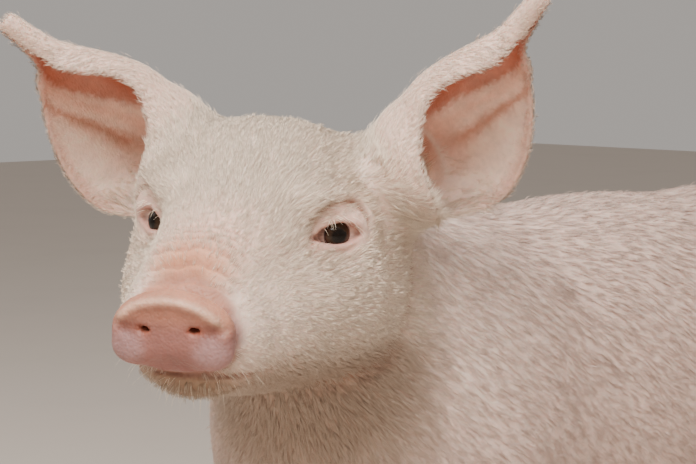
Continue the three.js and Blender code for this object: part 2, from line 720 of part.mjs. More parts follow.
for (const { side, end } of limbs) {
  const foot = footPlace(side, end);
  const sideName = side > 0 ? "left" : "right";
  const name = (end === "front" ? "foreleg_" : "hindleg_") + sideName;
  const reach = end === "front" ? [-200, -10] : [60, 250];
  const low = [side > 0 ? 2 : -110, reach[0], 2];
  const high = [side > 0 ? 110 : -2, reach[1], 240];
  const whole = meshOf(flesh, low, high, [11.5, 12.5, 15]);
  const floorCut = beyond(point(0, 0, hoofHeight), point(0, 0, 1), cut);
  const leg = whole.intersect(legBlock(side, end, 2 * cut)).intersect(floorCut);
  add(name, biggest(leg), coatPink);
  for (const toe of [1, -1]) {
    const which = toe === side ? "outer" : "inner";
    const label = (end === "front" ? "fore_" : "hind_") + sideName + "_" + which;
    add("claw_" + label, clawSolid(foot, toe), hoofHorn);
    const dewclaw = dewclawSolid(foot, toe).subtract(grown(whole, cut));
    add("dewclaw_" + label, biggest(dewclaw), hoofHorn);
  }
}

// The part's origin is the middle of its box, on the floor.
const box = new THREE.Box3().setFromObject(piglet);
piglet.position.set(-(box.min.x + box.max.x) / 2, -(box.min.y + box.max.y) / 2, -box.min.z);

export default piglet;
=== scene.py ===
# %% [markdown]
# # A six-week piglet
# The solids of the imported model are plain: they hold the outline of the piglet out to the tips of
# its coat. This lesson dresses them. One skin is drawn over the whole body, with folds, lids and
# lips, and then a coat of white hair is laid on it. Eyes and hooves stay pieces of their own.

# %% The tools and the frame
import math

import bpy
import numpy as np
from mathutils import Matrix, Vector
from mathutils.bvhtree import BVHTree


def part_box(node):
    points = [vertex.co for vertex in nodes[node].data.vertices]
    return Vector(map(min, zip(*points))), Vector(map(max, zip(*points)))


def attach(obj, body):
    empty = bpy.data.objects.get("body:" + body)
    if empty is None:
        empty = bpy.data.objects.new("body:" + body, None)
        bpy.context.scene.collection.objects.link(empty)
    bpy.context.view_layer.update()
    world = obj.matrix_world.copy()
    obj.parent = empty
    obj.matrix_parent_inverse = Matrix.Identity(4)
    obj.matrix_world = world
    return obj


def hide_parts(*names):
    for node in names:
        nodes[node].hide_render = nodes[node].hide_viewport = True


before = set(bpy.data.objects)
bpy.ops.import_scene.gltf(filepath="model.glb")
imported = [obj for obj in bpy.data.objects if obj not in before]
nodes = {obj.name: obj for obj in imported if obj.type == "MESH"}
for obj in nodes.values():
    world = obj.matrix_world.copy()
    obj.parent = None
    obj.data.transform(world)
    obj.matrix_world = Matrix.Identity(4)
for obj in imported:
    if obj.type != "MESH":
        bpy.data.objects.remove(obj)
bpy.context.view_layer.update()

# %% [markdown]
# ## Places
# The piglet's sizes are easier to think of in millimetres, with a left, a forward and an up. The
# frame is in metres with its origin under the middle of the body, so every place goes through one
# small function. The head has axes of its own, midway between the eyes, because it is turned.

# %% Axes of the body and of the head
MM = 0.001
FAR_OFF = 1e3  # the distance given to a point that a rule doesn't work out
head_place = np.array([52.0, -228.0, 312.0])  # midway between the eyes
head_turn, head_dip, head_tilt = 32, 1, 3  # degrees


def point(left, forward, up):
    return np.array([left, -forward, up], float)


def turn_about(axis, degrees):
    return np.array(Matrix.Rotation(math.radians(degrees), 3, axis))


head_axes = turn_about("Z", head_turn) @ turn_about("X", head_dip) @ turn_about("Y", head_tilt)
eye_middles = [sum(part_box("eye_" + side), Vector()) / 2 / MM for side in ("left", "right")]
origin = np.array((eye_middles[0] + eye_middles[1]) / 2) - head_place


def into_head(p):
    return (p - head_place) @ head_axes


def out_of_head(q):
    return q @ head_axes.T + head_place


def in_frame(p):
    """Millimetres from under the body to metres in the frame."""
    return (np.asarray(p) + origin) * MM


print("body's own origin in the frame, mm:", origin.round(2))

# %% [markdown]
# ## The camera
# A long lens a little above the animal's eyes, from the front of its left cheek. It looks at the
# head, so the shoulder runs out of the picture.

# %% Camera
camera_data = bpy.data.cameras.new("portrait_camera")
camera_data.lens = 120.5
camera_data.sensor_width = 36
camera = bpy.data.objects.new("portrait_camera", camera_data)
bpy.context.scene.collection.objects.link(camera)
azimuth, look_down = math.radians(48), math.radians(5)
right = Vector((math.cos(azimuth), math.sin(azimuth), 0))
ahead = Vector((-math.sin(azimuth) * math.cos(look_down), math.cos(azimuth) * math.cos(look_down),
                -math.sin(look_down)))
down = ahead.cross(right)
between_eyes = Vector(in_frame(head_place))
aside, below, away = -39.06, -2.07, 921.8  # from the lens to between the eyes, mm
camera_spot = between_eyes - (aside * right + below * down + away * ahead) * MM
camera_turn = Matrix((right, -down, -ahead)).transposed().to_4x4()
camera.matrix_world = Matrix.Translation(camera_spot) @ camera_turn
camera_data.clip_start = 0.05
bpy.context.scene.camera = camera
print("camera at", [round(x, 4) for x in camera_spot])

# %% [markdown]
# ## Flesh as distances
# A live body has no edges where its parts meet. So each muscle is written as a rule that gives the
# distance of any point from its surface, and rules are melted together with a soft minimum. The
# same rules gave the solids of the frame, so the skin sits where they are.

# %% Distance rules
def length(v):
    return np.sqrt(np.einsum("ij,ij->i", v, v))


def bulge(centre, half):
    """An egg of flesh."""
    half = np.asarray(half, float)

    def far(p):
        q = (p - centre) / half
        near = length(q)
        return near * (near - 1) / np.maximum(length(q / half), 1e-9)
    return far


def limb(start, start_radius, end, end_radius, wide=1.0):
    """A taper with round ends, widened sideways."""
    squeeze = np.array([wide, 1, 1])
    axis = (end - start) / squeeze
    long = np.linalg.norm(axis)
    shrink = start_radius - end_radius
    slant = math.sqrt(max(long ** 2 - shrink ** 2, 1e-9))

    def far(p):
        v = (p - start) / squeeze
        along = v @ (axis / long)
        off = np.sqrt(np.maximum(np.einsum("ij,ij->i", v, v) - along ** 2, 0))
        t = np.clip((along * slant + off * shrink) / (long * slant), 0, 1)
        return np.hypot(along - t * long, off) - (start_radius - shrink * t)
    return far


def melt(a, b, soft):
    h = np.maximum(soft - np.abs(a - b), 0) / soft
    return np.minimum(a, b) - h * h * soft / 4


def carve(a, b, soft):
    """a with b taken out of it."""
    return -melt(-a, b, soft)


def blend(soft, forms):
    def far(p):
        found = forms[0](p)
        for form in forms[1:]:
            found = melt(found, form(p), soft)
        return found
    return far


def within(low, high, form):
    """A form that is only worked out inside a box, and is far away outside it."""
    low, high = np.minimum(low, high), np.maximum(low, high)

    def far(p):
        inside = np.all((p > low) & (p < high), axis=1)
        found = np.full(len(p), FAR_OFF)
        if inside.any():
            found[inside] = form(p[inside])
        return found
    return far


def smooth(x, low, high):
    t = np.clip((x - low) / (high - low), 0, 1)
    return t * t * (3 - 2 * t)


# %% Trunk and neck
torso = blend(26, [
    bulge(point(0, 34, 221), (66, 148, 84)),  # rib cage
    bulge(point(0, -52, 214), (68, 122, 77)),  # belly
    bulge(point(0, -48, 250), (54, 134, 60)),  # loin
    bulge(point(0, -134, 242), (60, 75, 68)),  # rump
    bulge(point(0, 88, 255), (42, 66, 44)),  # withers
    bulge(point(0, 134, 202), (52, 54, 58)),  # brisket
    *[bulge(point(side * 40, 92, 216), (28, 54, 70)) for side in (1, -1)],  # shoulders
    *[bulge(point(side * 36, -150, 206), (35, 58, 72)) for side in (1, -1)],  # hams
])
neck = blend(20, [
    limb(point(0, 104, 240), 63, point(23, 170, 284), 53, 0.95),
    limb(point(4, 122, 212), 48, point(22, 164, 256), 41),
])

# %% Legs
hoof_height = 17
toe_spread = 6.9
stance = {"fore": 95, "hind": -160}


def foot_place(side, end):
    return side * 38, stance[end] + side * 7 * (1 if end == "fore" else -1)


def leg(side, end):
    left, forward = foot_place(side, end)
    fetlock = point(left, forward - 9, 38)
    foot = [bulge(fetlock, (13.4, 12.5, 12))]
    foot += [bulge(point(left + toe * toe_spread, forward + 2, 19), (7, 11, 15)) for toe in (1, -1)]
    if end == "fore":
        elbow, knee = point(left + side * 2, forward - 22, 142), point(left, forward - 2, 86)
        forms = [
            limb(point(side * 42, forward - 6, 190), 38, elbow, 27, 0.75),
            limb(elbow, 24, knee, 14, 0.9),
            bulge(knee, (14, 15, 18)),
            limb(knee, 12.6, fetlock, 11, 0.95),
        ]
    else:
        stifle, hock = point(side * 41, forward + 46, 150), point(left, forward - 18, 86)
        heel = point(left, forward - 31, 99)
        forms = [
            limb(point(side * 36, -136, 200), 50, stifle, 31, 0.7),
            limb(stifle, 29, hock, 14.5, 0.8),
            limb(point(side * 37, forward - 6, 190), 34, heel, 9, 0.72),
            limb(point(side * 38, forward + 6, 150), 26, point(left, forward - 19, 98), 12, 0.8),
            limb(heel, 8, hock, 12.5),
            limb(hock, 13, fetlock, 11, 0.95),
        ]
    low = point(side * -8, forward - 110, -20)
    high = point(side * 130, forward + 130, 290)
    return within(low, high, blend(9, forms + foot))


legs = [leg(side, end) for side in (1, -1) for end in ("fore", "hind")]

# %% [markdown]
# ## Ears
# A piglet's ear is a thin leaf rolled into a funnel. It is written as a sheet: one number runs from
# root to tip and another across it, and the section turns ever faster toward the rolled edge that
# faces the forehead. It turns least in the middle, and shuts into a tube at the root and the tip.
# A smooth lift along two lines makes the ridges of gristle inside.

# %% The sheet of an ear
ear_run = (-22, 88)  # from inside the root to the tip
outer_edge = (-12, -25, -34.5, -37, -35, -30.5, -23.5, -14.5, -3.5, -0.5, 1)  # from the ear's axis
inner_edge = (8, 15.5, 22, 25, 23, 22.5, 19, 14, 9, 8, 8)
curl_start, curl_gather = -50, 1.32
curl_end = (245, 187, 125, 112, 175, 270)
EARS = {
    "left": dict(side=1, root=point(56.7, -40.5, 25.6), rise=52.5, lean=11.5, face=38, nod=4.5, wide=1.06),
    "right": dict(side=-1, root=point(-48.8, -42.5, 22.9), rise=39, lean=24.6, face=13.7, nod=18, wide=1.12),
}


def through(values, t):
    """A smooth curve through evenly spaced values."""
    last = len(values) - 1
    spot = np.clip(t, 0, 1) * last
    i = np.minimum(spot.astype(int), last - 1)
    f = spot - i
    a, b, c, d = (np.asarray(values, float)[np.clip(i + n, 0, last)] for n in (-1, 0, 1, 2))
    return b + 0.5 * f * (c - a + (2 * a - 5 * b + 4 * c - d) * f + (3 * (b - c) + d - a) * f * f)


def ear_axes(pose):
    rise, face = math.radians(pose["rise"]), math.radians(pose["face"])
    axis = turn_about("Z", -pose["lean"]) @ np.array([math.cos(rise), 0, math.sin(rise)])
    facing = point(math.sin(face), math.cos(face), 0)
    facing -= facing @ axis * axis
    facing /= np.linalg.norm(facing)
    return axis, facing, np.cross(facing, axis)


def ear_sheet(pose, t, columns):
    """Rows of points across the ear, one row for each t, in the head's axes."""
    axis, facing, medial = ear_axes(pose)
    steps = (np.arange(columns) + 0.5) / columns
    turn = np.radians(curl_start + (through(curl_end, t)[:, None] - curl_start) * steps ** curl_gather)
    none = np.zeros((len(t), 1))
    across = np.hstack([none, np.cumsum(np.cos(turn), 1)])
    deep = np.hstack([none, np.cumsum(np.sin(turn), 1)])
    outer, inner = through(outer_edge, t) * pose["wide"], through(inner_edge, t) * pose["wide"]
    scale = ((inner - outer) / across.max(1))[:, None]
    across = outer[:, None] + across * scale
    deep = deep * scale + pose["nod"] * t[:, None] ** 2
    along = (ear_run[0] + (ear_run[1] - ear_run[0]) * t)[:, None, None]
    spot = along * axis + across[..., None] * medial + deep[..., None] * facing
    return spot * (pose["side"], 1, 1) + pose["root"]


def ear_leaf(pose, rows=64, columns=48):
    """The middle of the ear: points, faces that look inward, and each point's (t, w)."""
    t = np.arange(rows + 1) / rows
    places = ear_sheet(pose, t, columns)
    t, w = (x.ravel() for x in np.meshgrid(t, np.arange(columns + 1) / columns, indexing="ij"))
    at = np.arange(len(t)).reshape(rows + 1, columns + 1)
    quads = np.stack([at[:-1, :-1], at[1:, :-1], at[1:, 1:], at[:-1, 1:]], -1).reshape(-1, 4)
    if pose["side"] < 0:
        quads = quads[:, ::-1]
    return places.reshape(-1, 3), quads, np.stack([t, w], 1)


def ear_thickness(t, w):
    """Half the thickness of the gristle, thin at the rim and thick at the root and along two ridges."""
    first = np.exp(-((w - ear_ridge_at(t)) / 0.05) ** 2) * smooth(t, 0.22, 0.36)
    second = np.exp(-((w - ear_ridge_at(t) + 0.12) / 0.03) ** 2) * smooth(t, 0.26, 0.38)
    rim = np.maximum(w, 1 - w) ** 8
    return 1.65 - 0.55 * t - 0.2 * rim + 1.0 * first - 0.3 * second


def ear_ridge_at(t):
    """The w of the main ridge of gristle, which ends at the outer edge near the tip."""
    return 0.38 - 2.7 * np.maximum(t - 0.38, 0) ** 2


class EarLookup:
    """The nearest place on an ear to any point, with its (t, w, side, face): side 1 is the inside."""

    def __init__(self, pose):
        self.places, self.quads, self.marks = ear_leaf(pose)
        self.tree = BVHTree.FromPolygons(self.places.tolist(), self.quads.tolist())
        self.low, self.high = self.places.min(0) - 24, self.places.max(0) + 24
        self.quad_marks = self.marks[self.quads].mean(1)
        a, b, c, d = np.moveaxis(self.places[self.quads], 1, 0)
        self.inward, self.tipward = (c + d - a - b) * pose["side"], b + c - a - d

    def look(self, q):
        """(distance, marks) of points, with FAR_OFF where they are far off."""
        far = np.full(len(q), FAR_OFF)
        marks = np.zeros((len(q), 4))
        inside = np.flatnonzero(np.all((q > self.low) & (q < self.high), axis=1))
        for n in inside:
            place, normal, face, gap = self.tree.find_nearest(Vector(q[n]))
            far[n] = gap
            toward = (q[n][0] - place[0]) * normal[0] + (q[n][1] - place[1]) * normal[1] \
                + (q[n][2] - place[2]) * normal[2]
            marks[n] = (*self.quad_marks[face], 1 if toward > 0 else -1, face)
        far[inside] -= ear_thickness(marks[inside, 0], marks[inside, 1])
        return far, marks


ears = {name: EarLookup(pose) for name, pose in EARS.items()}
for name, ear in ears.items():
    print("ear", name, "reaches", ear.places.min(0).round(0), ear.places.max(0).round(0))

# %% [markdown]
# ## The head
# The head gets the most care. Its main muscles come first, then the round end of the snout, then
# what a sculptor would add last: lids over the eyes, nostrils, the lips and a few wrinkles.

# %% Main forms of the head
disc_half, disc_thick, disc_slant = (23.5, 16.0), 11.0, 20
disc_place = point(0, 82, -30)
disc_axes = turn_about("X", disc_slant)


def into_disc(q):
    return (q - disc_place) @ disc_axes


def oval(q):
    """How far out from the snout's outline, an oval drawn in a little toward the chin."""
    wide = disc_half[0] * (1 - 0.09 * smooth(q[:, 2], -2, -disc_half[1]))
    return (np.hypot(q[:, 0] / wide, q[:, 2] / disc_half[1]) - 1) * disc_half[1]


def disc(p, edge=4):
    q = into_disc(p)
    side, face = oval(q) + edge, np.abs(q[:, 1]) - disc_thick / 2 + edge
    return np.hypot(np.maximum(side, 0), np.maximum(face, 0)) + np.minimum(np.maximum(side, face), 0) - edge


head_muscles = blend(10, [
    bulge(point(0, -24, 8), (44, 46, 35)),  # skull
    limb(point(0, -12, 10), 30, point(0, 52, -13), 19, 1.27),  # forehead and bridge
    limb(point(0, 30, -28), 25, point(0, 62, -30), 19, 1.2),  # muzzle
    *[limb(point(s * 23, -8, -28), 31, point(s * 11, 55, -33), 20) for s in (1, -1)],  # cheeks
    *[bulge(point(s * 27, -38, -22), (30, 36, 43)) for s in (1, -1)],  # jowls
    limb(point(0, -18, -45), 25, point(0, 58, -46), 12.5, 1.3),  # lower jaw
    *[bulge(point(s * 26, 0, 15), (15, 20, 10)) for s in (1, -1)],  # brows
    *[limb(point(s * 30, 16, -21), 13.5, point(s * 36, -8, -14), 15) for s in (1, -1)],  # cheekbones
    limb(point(24, -34, 18), 26, point(44, -45, 22), 15),  # root of the left ear
    limb(point(-24, -34, 17), 26, point(-43, -45, 20), 15),  # and of the right
])

# %% [markdown]
# An eyelid is a fold of skin that fits the ball of the eye. Here each lid is part of one egg laid
# over the ball, and an almond is cut through it. The almond's corners are pulled out beyond the
# ball, where a thin pink lining shows, and the crease of the upper lid runs round it.

# %% Eyelids
eye_radius, eye_gap, eye_aim = 9, 32.5, math.radians(46)
lid_tilt = math.radians(4)
almond = dict(nasal=11.6, temporal=11.2, top=5.2, bottom=3.0)
lid_crease = (0.5, 1), (14.8, 12.6)  # middle and half size of the oval that the crease follows


class Eye:
    """An eye's own axes: out of the socket, toward the temple, and up."""

    def __init__(self, side):
        self.side = side
        self.middle = point(side * eye_gap, 0, 0)
        self.out = np.array([side * math.sin(eye_aim), -math.cos(eye_aim), 0])
        back = np.array([side * math.cos(eye_aim), math.sin(eye_aim), 0])
        up = np.array([0, 0, 1.0])
        self.temple = math.cos(lid_tilt) * back + math.sin(lid_tilt) * up
        self.up = math.cos(lid_tilt) * up - math.sin(lid_tilt) * back

    def place(self, out, temple, up):
        return self.middle + out * self.out + temple * self.temple + up * self.up

    def seen(self, q):
        """(out, temple, up) of points."""
        v = q - self.middle
        return v @ self.out, v @ self.temple, v @ self.up

    def gape(self, q):
        """How far a point is outside the almond, across it."""
        out, temple, up = self.seen(q)
        reach = np.where(temple < 0, almond["nasal"], almond["temporal"])
        along = np.minimum(np.abs(temple) / reach, 1.6)
        above = up - almond["top"] * (1 - along ** 2.1)
        below = -up - almond["bottom"] * (1 - along ** 2.6)
        return np.maximum(above, below)


eyes = {"left": Eye(1), "right": Eye(-1)}


def egg(eye, centre, half):
    """An egg in the eye's own axes."""
    half = np.asarray(half, float)

    def far(q):
        v = np.stack(eye.seen(q), 1) - centre
        u = v / half
        near = length(u)
        return near * (near - 1) / np.maximum(length(u / half), 1e-9)
    return far


def ring(eye, q, middle, half):
    """How far out from an oval drawn round the eye."""
    out, temple, up = eye.seen(q)
    return (np.hypot((temple - middle[0]) / half[0], (up - middle[1]) / half[1]) - 1) * min(half)


def with_lids(eye):
    orbit = bulge(eye.middle + (7.2 + 16) * eye.out, (16, 16, 13))
    lid = egg(eye, (0, 1, 2), (11.3, 18, 13.5))
    lining = egg(eye, (0, 2, 0), (6.6, 14.5, 9))

    def shaped(q, far):
        far = carve(far, orbit(q), 7)
        far = melt(far, lid(q), 3)
        out, temple, up = eye.seen(q)
        upper = smooth(up, -4, 5) * (0.5 + 0.5 * smooth(temple, -9, 5))
        lower = smooth(up, 1, -4) * smooth(temple, 12, 4)
        far += 2.1 * upper * np.exp(-(ring(eye, q, *lid_crease) / 1.2) ** 2)
        far += 0.7 * lower * np.exp(-(ring(eye, q, (-1, 0.5), (12.5, 7)) / 0.9) ** 2)
        far += 0.35 * smooth(up, 3, 6) * np.exp(-(ring(eye, q, (0, 0.5), (13.5, 9.2)) / 0.8) ** 2)
        opening = np.maximum(eye.gape(q), 2.0 - out)
        opening = np.maximum(opening, -lining(q))
        return carve(far, opening, 1.1)
    low, high = eye.middle - 30, eye.middle + 30
    return low, high, shaped


lid_work = [with_lids(eye) for eye in eyes.values()]

# %% [markdown]
# The end of the snout is a bare pad with a raised rim, a lobe under each nostril and a notch below.
# Each nostril is a pit that opens outward into a shallow groove, like a comma.

# %% Snout, nostrils and lips
def in_disc_axes(left, out, up):
    return disc_place + disc_axes @ point(left, out, up)


def chain(places, radii, wide=1.0):
    """Tapers joined end to end."""
    links = [limb(a, ra, b, rb, wide) for a, ra, b, rb in zip(places, radii, places[1:], radii[1:])]
    return lambda q: np.minimum.reduce([link(q) for link in links])


lobes = [bulge(in_disc_axes(s * 14.5, 3.6, -5.6), (9, 5.2, 7)) for s in (1, -1)]
pit_path = ((8.4, 0.5, 2.8), (9.4, 4, 2.6), (10.6, 8.2, 2.6))  # left, out, up
groove_path = ((11.4, 8.0, 2.8), (16.5, 7.2, 3.2), (22, 5.2, 4.3))
pit_rise = {1: 0.9, -1: 0}  # the head's own left nostril sits a little higher
pits = [chain([in_disc_axes(s * left, out, up + pit_rise[s]) for left, out, up in pit_path],
              [0.9, 0.95, 1.1], 1.9) for s in (1, -1)]
grooves = [chain([in_disc_axes(s * left, out, up + pit_rise[s]) for left, out, up in groove_path],
                 [1.6, 2.2, 1.4]) for s in (1, -1)]
notch = chain([in_disc_axes(0, 7, -17), in_disc_axes(0, 7.6, -9)], [3.4, 1.2])
dome = bulge(in_disc_axes(0, 1.4, 1.5), (22, 5.4, 12))


def lip_groove(q):
    """How deep the line between the lips is, in mm."""
    left, forward, up = q[:, 0], -q[:, 1], q[:, 2]
    line = -47.2 + 7 * smooth(forward, 52, 22)
    share = smooth(forward, 20, 40) * smooth(up, -30, -40)
    return (0.5 + 1.1 * smooth(forward, 50, 66)) * share * np.exp(-((up - line) / 1.0) ** 2)


def snout_detail(q, far):
    rim_spot = into_disc(q)
    rim = np.hypot(oval(rim_spot) + 2.0, rim_spot[:, 1] + 4.7) - 1.25
    far = melt(far, rim + 1.2 * smooth(rim_spot[:, 2], 4, -8), 2.2)
    far = melt(far, dome(q), 3)
    for lobe in lobes:
        far = melt(far, lobe(q), 3)
    far = carve(far, notch(q), 2.5)
    for groove in grooves:
        far = carve(far, groove(q), 2.4)
    for pit in pits:
        far = carve(far, pit(q), 1.1)
    return far + lip_groove(q)


def wrinkles(q):
    """Soft folds across the bridge, just behind the pad, in mm outward."""
    left, forward, up = q[:, 0], -q[:, 1], q[:, 2]
    bow = forward + 0.012 * left ** 2
    share = smooth(bow, 44, 56) * smooth(bow, 79, 74) * smooth(up, -26, -14) * smooth(np.abs(left), 24, 12)
    return 0.6 * share * np.sin(2 * math.pi * bow / 3.9 + 0.9 * np.sin(left / 4) + 0.4 * np.sin(left / 1.7))


def head_flesh(q):
    far = melt(head_muscles(q), disc(q), 4)
    for low, high, shaped in lid_work:
        inside = np.flatnonzero(np.all((q > low) & (q < high), axis=1))
        if len(inside):
            far[inside] = shaped(q[inside], far[inside])
    front = np.flatnonzero(q[:, 1] < -10)
    if len(front):
        far[front] = snout_detail(q[front], far[front])
        far[front] -= wrinkles(q[front])
    return far


# %% [markdown]
# ## The tail
# It hangs from the rump in one loose curl, and is a chain of tapers along that curve.

# %% Tail
def tail_curve(t):
    turn = 2 * math.pi * 1.05 * max(t - 0.22, 0)
    radius = 15 * min(max(t - 0.22, 0) * 4, 1)
    return point(radius * math.sin(turn), -188 - 34 * min(t * 3, 1) - 12 * t,
                 276 - 46 * t + radius * (1 - math.cos(turn)) * 0.9)


tail_steps = np.linspace(0, 1, 25)
tail_places = [tail_curve(t) for t in tail_steps]
tail_form = chain(tail_places, [6.4 * (1 - 0.7 * t) for t in tail_steps])
tail = within(point(-40, -160, 190), point(40, -270, 310), tail_form)

# %% [markdown]
# ## The whole skin
# Everything melts together, and the skin is drawn in a little from the solids, by as much as the
# coat stands above it there: about two millimetres on the trunk, one on the face and the feet, and
# next to nothing on the pad and round the eyes.

# %% Skin as one distance
def coat_depth(p, q):
    face = smooth(-q[:, 1], -60, 20)
    pad = smooth(-q[:, 1], 66, 80)
    low_leg = smooth(p[:, 2], 130, 60)
    depth = 1.9 - 0.9 * face - 0.8 * pad * face - 0.9 * low_leg
    for eye in eyes.values():
        depth = depth * (1 - smooth(length(q - eye.middle), 24, 14))
    return depth


head_low, head_high = (-160, -130, -130), (160, 140, 125)  # a box round the head and the ears


def skin(p):
    far = melt(torso(p), neck(p), 34)
    for form in legs:
        far = melt(far, form(p), 16)
    far = melt(far, tail(p) - 0.9, 5)
    q = into_head(p)
    near = np.flatnonzero(np.all((q > head_low) & (q < head_high), axis=1))
    depth = coat_depth(p, q)
    if len(near):
        far[near] = melt(far[near], head_flesh(q[near]), 4.5)
    far = far + depth
    if len(near):
        for ear in ears.values():
            gap, marks = ear.look(q[near])
            close = gap < FAR_OFF
            soft = 4 + 16 * smooth(marks[close, 0], 0.5, 0.15)
            far[near[close]] = melt(far[near[close]], gap[close], soft)
    return carve(far, p[:, 2] - hoof_height - 0.4, 2)


# %% [markdown]
# ## Drawing the skin
# The rule is turned into a mesh the way a sculptor works, from coarse to fine. Big cells that the
# surface might cross are split, again and again, and the rest are dropped. In each last cell that
# it does cross goes one point, and points of neighbouring cells are joined by four-sided faces.

# %% Splitting cells near the surface
CELL = 1.25
COARSE = 20.0
reach_low, reach_high = np.array([-150.0, -360, 0]), np.array([170.0, 260, 420])
CORNERS = np.array([[x, y, z] for x in (0, 1) for y in (0, 1) for z in (0, 1)])  # of a cell
EDGES = [(a, b) for a in range(8) for b in range(a + 1, 8) if np.abs(CORNERS[a] - CORNERS[b]).sum() == 1]
KEY_BITS = 20  # a place in whole numbers is packed into one number, with this many bits for each
KEY_OF = np.array([1 << 2 * KEY_BITS, 1 << KEY_BITS, 1])


def in_batches(rule, p, size=40000):
    return np.concatenate([rule(p[n:n + size]) for n in range(0, len(p), size)]) if len(p) else np.zeros(0)


def cells_near(rule):
    """The whole-number places of the last cells that the surface may cross."""
    size = COARSE
    spans = np.ceil((reach_high - reach_low) / size).astype(int)
    cells = np.stack(np.meshgrid(*[np.arange(n) for n in spans], indexing="ij"), -1).reshape(-1, 3)
    while True:
        far = in_batches(rule, reach_low + (cells + 0.5) * size)
        cells = cells[np.abs(far) < size * 1.3 + 0.8]
        if size <= CELL * 1.001:
            return cells
        cells = (cells[:, None, :] * 2 + CORNERS).reshape(-1, 3)
        size /= 2


def drawn(rule):
    """(points, quads) of the surface of a rule."""
    cells = cells_near(rule)
    corner_keys = (cells[:, None, :] + CORNERS) @ KEY_OF
    unique, back = np.unique(corner_keys, return_inverse=True)
    spots = np.stack([unique >> shift for shift in (2 * KEY_BITS, KEY_BITS, 0)], 1) & (1 << KEY_BITS) - 1
    far = in_batches(rule, reach_low + spots * CELL)
    values = far[back.reshape(corner_keys.shape)]
    crossed = (values < 0).any(1) & (values >= 0).any(1)
    cells, values = cells[crossed], values[crossed]
    total, hits = np.zeros((len(cells), 3)), np.zeros(len(cells))
    for a, b in EDGES:
        da, db = values[:, a], values[:, b]
        cut = (da < 0) != (db < 0)
        t = np.where(cut, da / np.where(cut, da - db, 1), 0)
        spot = CORNERS[a] + t[:, None] * (CORNERS[b] - CORNERS[a])
        total += spot * cut[:, None]
        hits += cut
    places = reach_low + (cells + total / hits[:, None]) * CELL
    keys = cells @ KEY_OF
    order = np.argsort(keys)
    sorted_keys = keys[order]
    quads = []
    here = values[:, 0] < 0
    for axis, far_end in enumerate((4, 2, 1)):
        one, two = [step for n, step in enumerate(np.eye(3, dtype=int)) if n != axis]
        cross = np.flatnonzero(here != (values[:, far_end] < 0))
        around = (-one - two, -two, 0 * one, -one)  # the four cells that share this edge
        ring = [order[np.searchsorted(sorted_keys, (cells[cross] + step) @ KEY_OF)] for step in around]
        ring = np.stack(ring, 1)
        flip = here[cross] if axis != 1 else ~here[cross]
        ring[~flip] = ring[~flip][:, ::-1]
        quads.append(ring)
    return places, np.concatenate(quads)


def mesh_from(name, places, faces):
    """A mesh in the frame from places in millimetres and faces that all have as many corners."""
    faces = np.asarray(faces)
    mesh = bpy.data.meshes.new(name)
    mesh.vertices.add(len(places))
    mesh.vertices.foreach_set("co", in_frame(places).astype(np.float32).ravel())
    mesh.loops.add(faces.size)
    mesh.loops.foreach_set("vertex_index", faces.astype(np.int32).ravel())
    mesh.polygons.add(len(faces))
    mesh.polygons.foreach_set("loop_start", np.arange(0, faces.size, faces.shape[1], dtype=np.int32))
    mesh.update(calc_edges=True)
    mesh.shade_smooth()
    return mesh


def shown(name, mesh):
    piece = bpy.data.objects.new(name, mesh)
    bpy.context.scene.collection.objects.link(piece)
    return piece


skin_places, skin_quads = drawn(skin)
skin_piece = shown("piglet_skin", mesh_from("piglet_skin", skin_places, skin_quads))
print("skin drawn with", len(skin_quads), "faces")

# %% [markdown]
# That is far more faces than the smooth flanks need. Collapsing the shortest and flattest edges
# first leaves the small faces where the folds are.

# %% Thinning the skin
SKIN_FACES = 186000


def baked(piece):
    """A piece's mesh with its modifiers applied."""
    graph = bpy.context.evaluated_depsgraph_get()
    mesh = bpy.data.meshes.new_from_object(piece.evaluated_get(graph))
    piece.modifiers.clear()
    old, piece.data = piece.data, mesh
    bpy.data.meshes.remove(old)
    return mesh


thin = skin_piece.modifiers.new("thin", "DECIMATE")
thin.ratio = min(1, SKIN_FACES / (2 * len(skin_quads)))
skin_mesh = baked(skin_piece)
skin_mesh.name = "piglet_skin"
skin_mesh.shade_smooth()


def mesh_arrays(mesh):
    """(places in mm, triangles, normals at the places) of a mesh of triangles."""
    mesh.calc_loop_triangles()
    places = np.empty(len(mesh.vertices) * 3, np.float32)
    mesh.vertices.foreach_get("co", places)
    corners = np.empty(len(mesh.loop_triangles) * 3, np.int32)
    mesh.loop_triangles.foreach_get("vertices", corners)
    normals = np.empty(len(mesh.vertices) * 3, np.float32)
    mesh.vertex_normals.foreach_get("vector", normals)
    return places.reshape(-1, 3).astype(float) / MM - origin, corners.reshape(-1, 3), normals.reshape(-1, 3)


places, triangles, normals = mesh_arrays(skin_mesh)
print("skin thinned to", len(triangles), "triangles")

# %% [markdown]
# ## Markings
# A white pig's colour comes from blood under thin skin: pink on the snout, in the ears and round the
# eyes, paler where fat or hair covers it. Each tint is a soft patch in the head's own axes, and the
# same rule colours the skin and every hair that grows from it. Some patches are painted shade and
# light: darker in the folds and grooves, under the pad and the jaw, on the throat and partly on the
# underside, and paler on the neck, inside the ears and along the top of the pad's rim.

# %% Colour rule
def paint(red, green, blue):
    """A colour as a painter mixes it, 0 to 255, as light."""
    c = np.array([red, green, blue]) / 255
    return np.where(c <= 0.04045, c / 12.92, ((c + 0.055) / 1.055) ** 2.4)


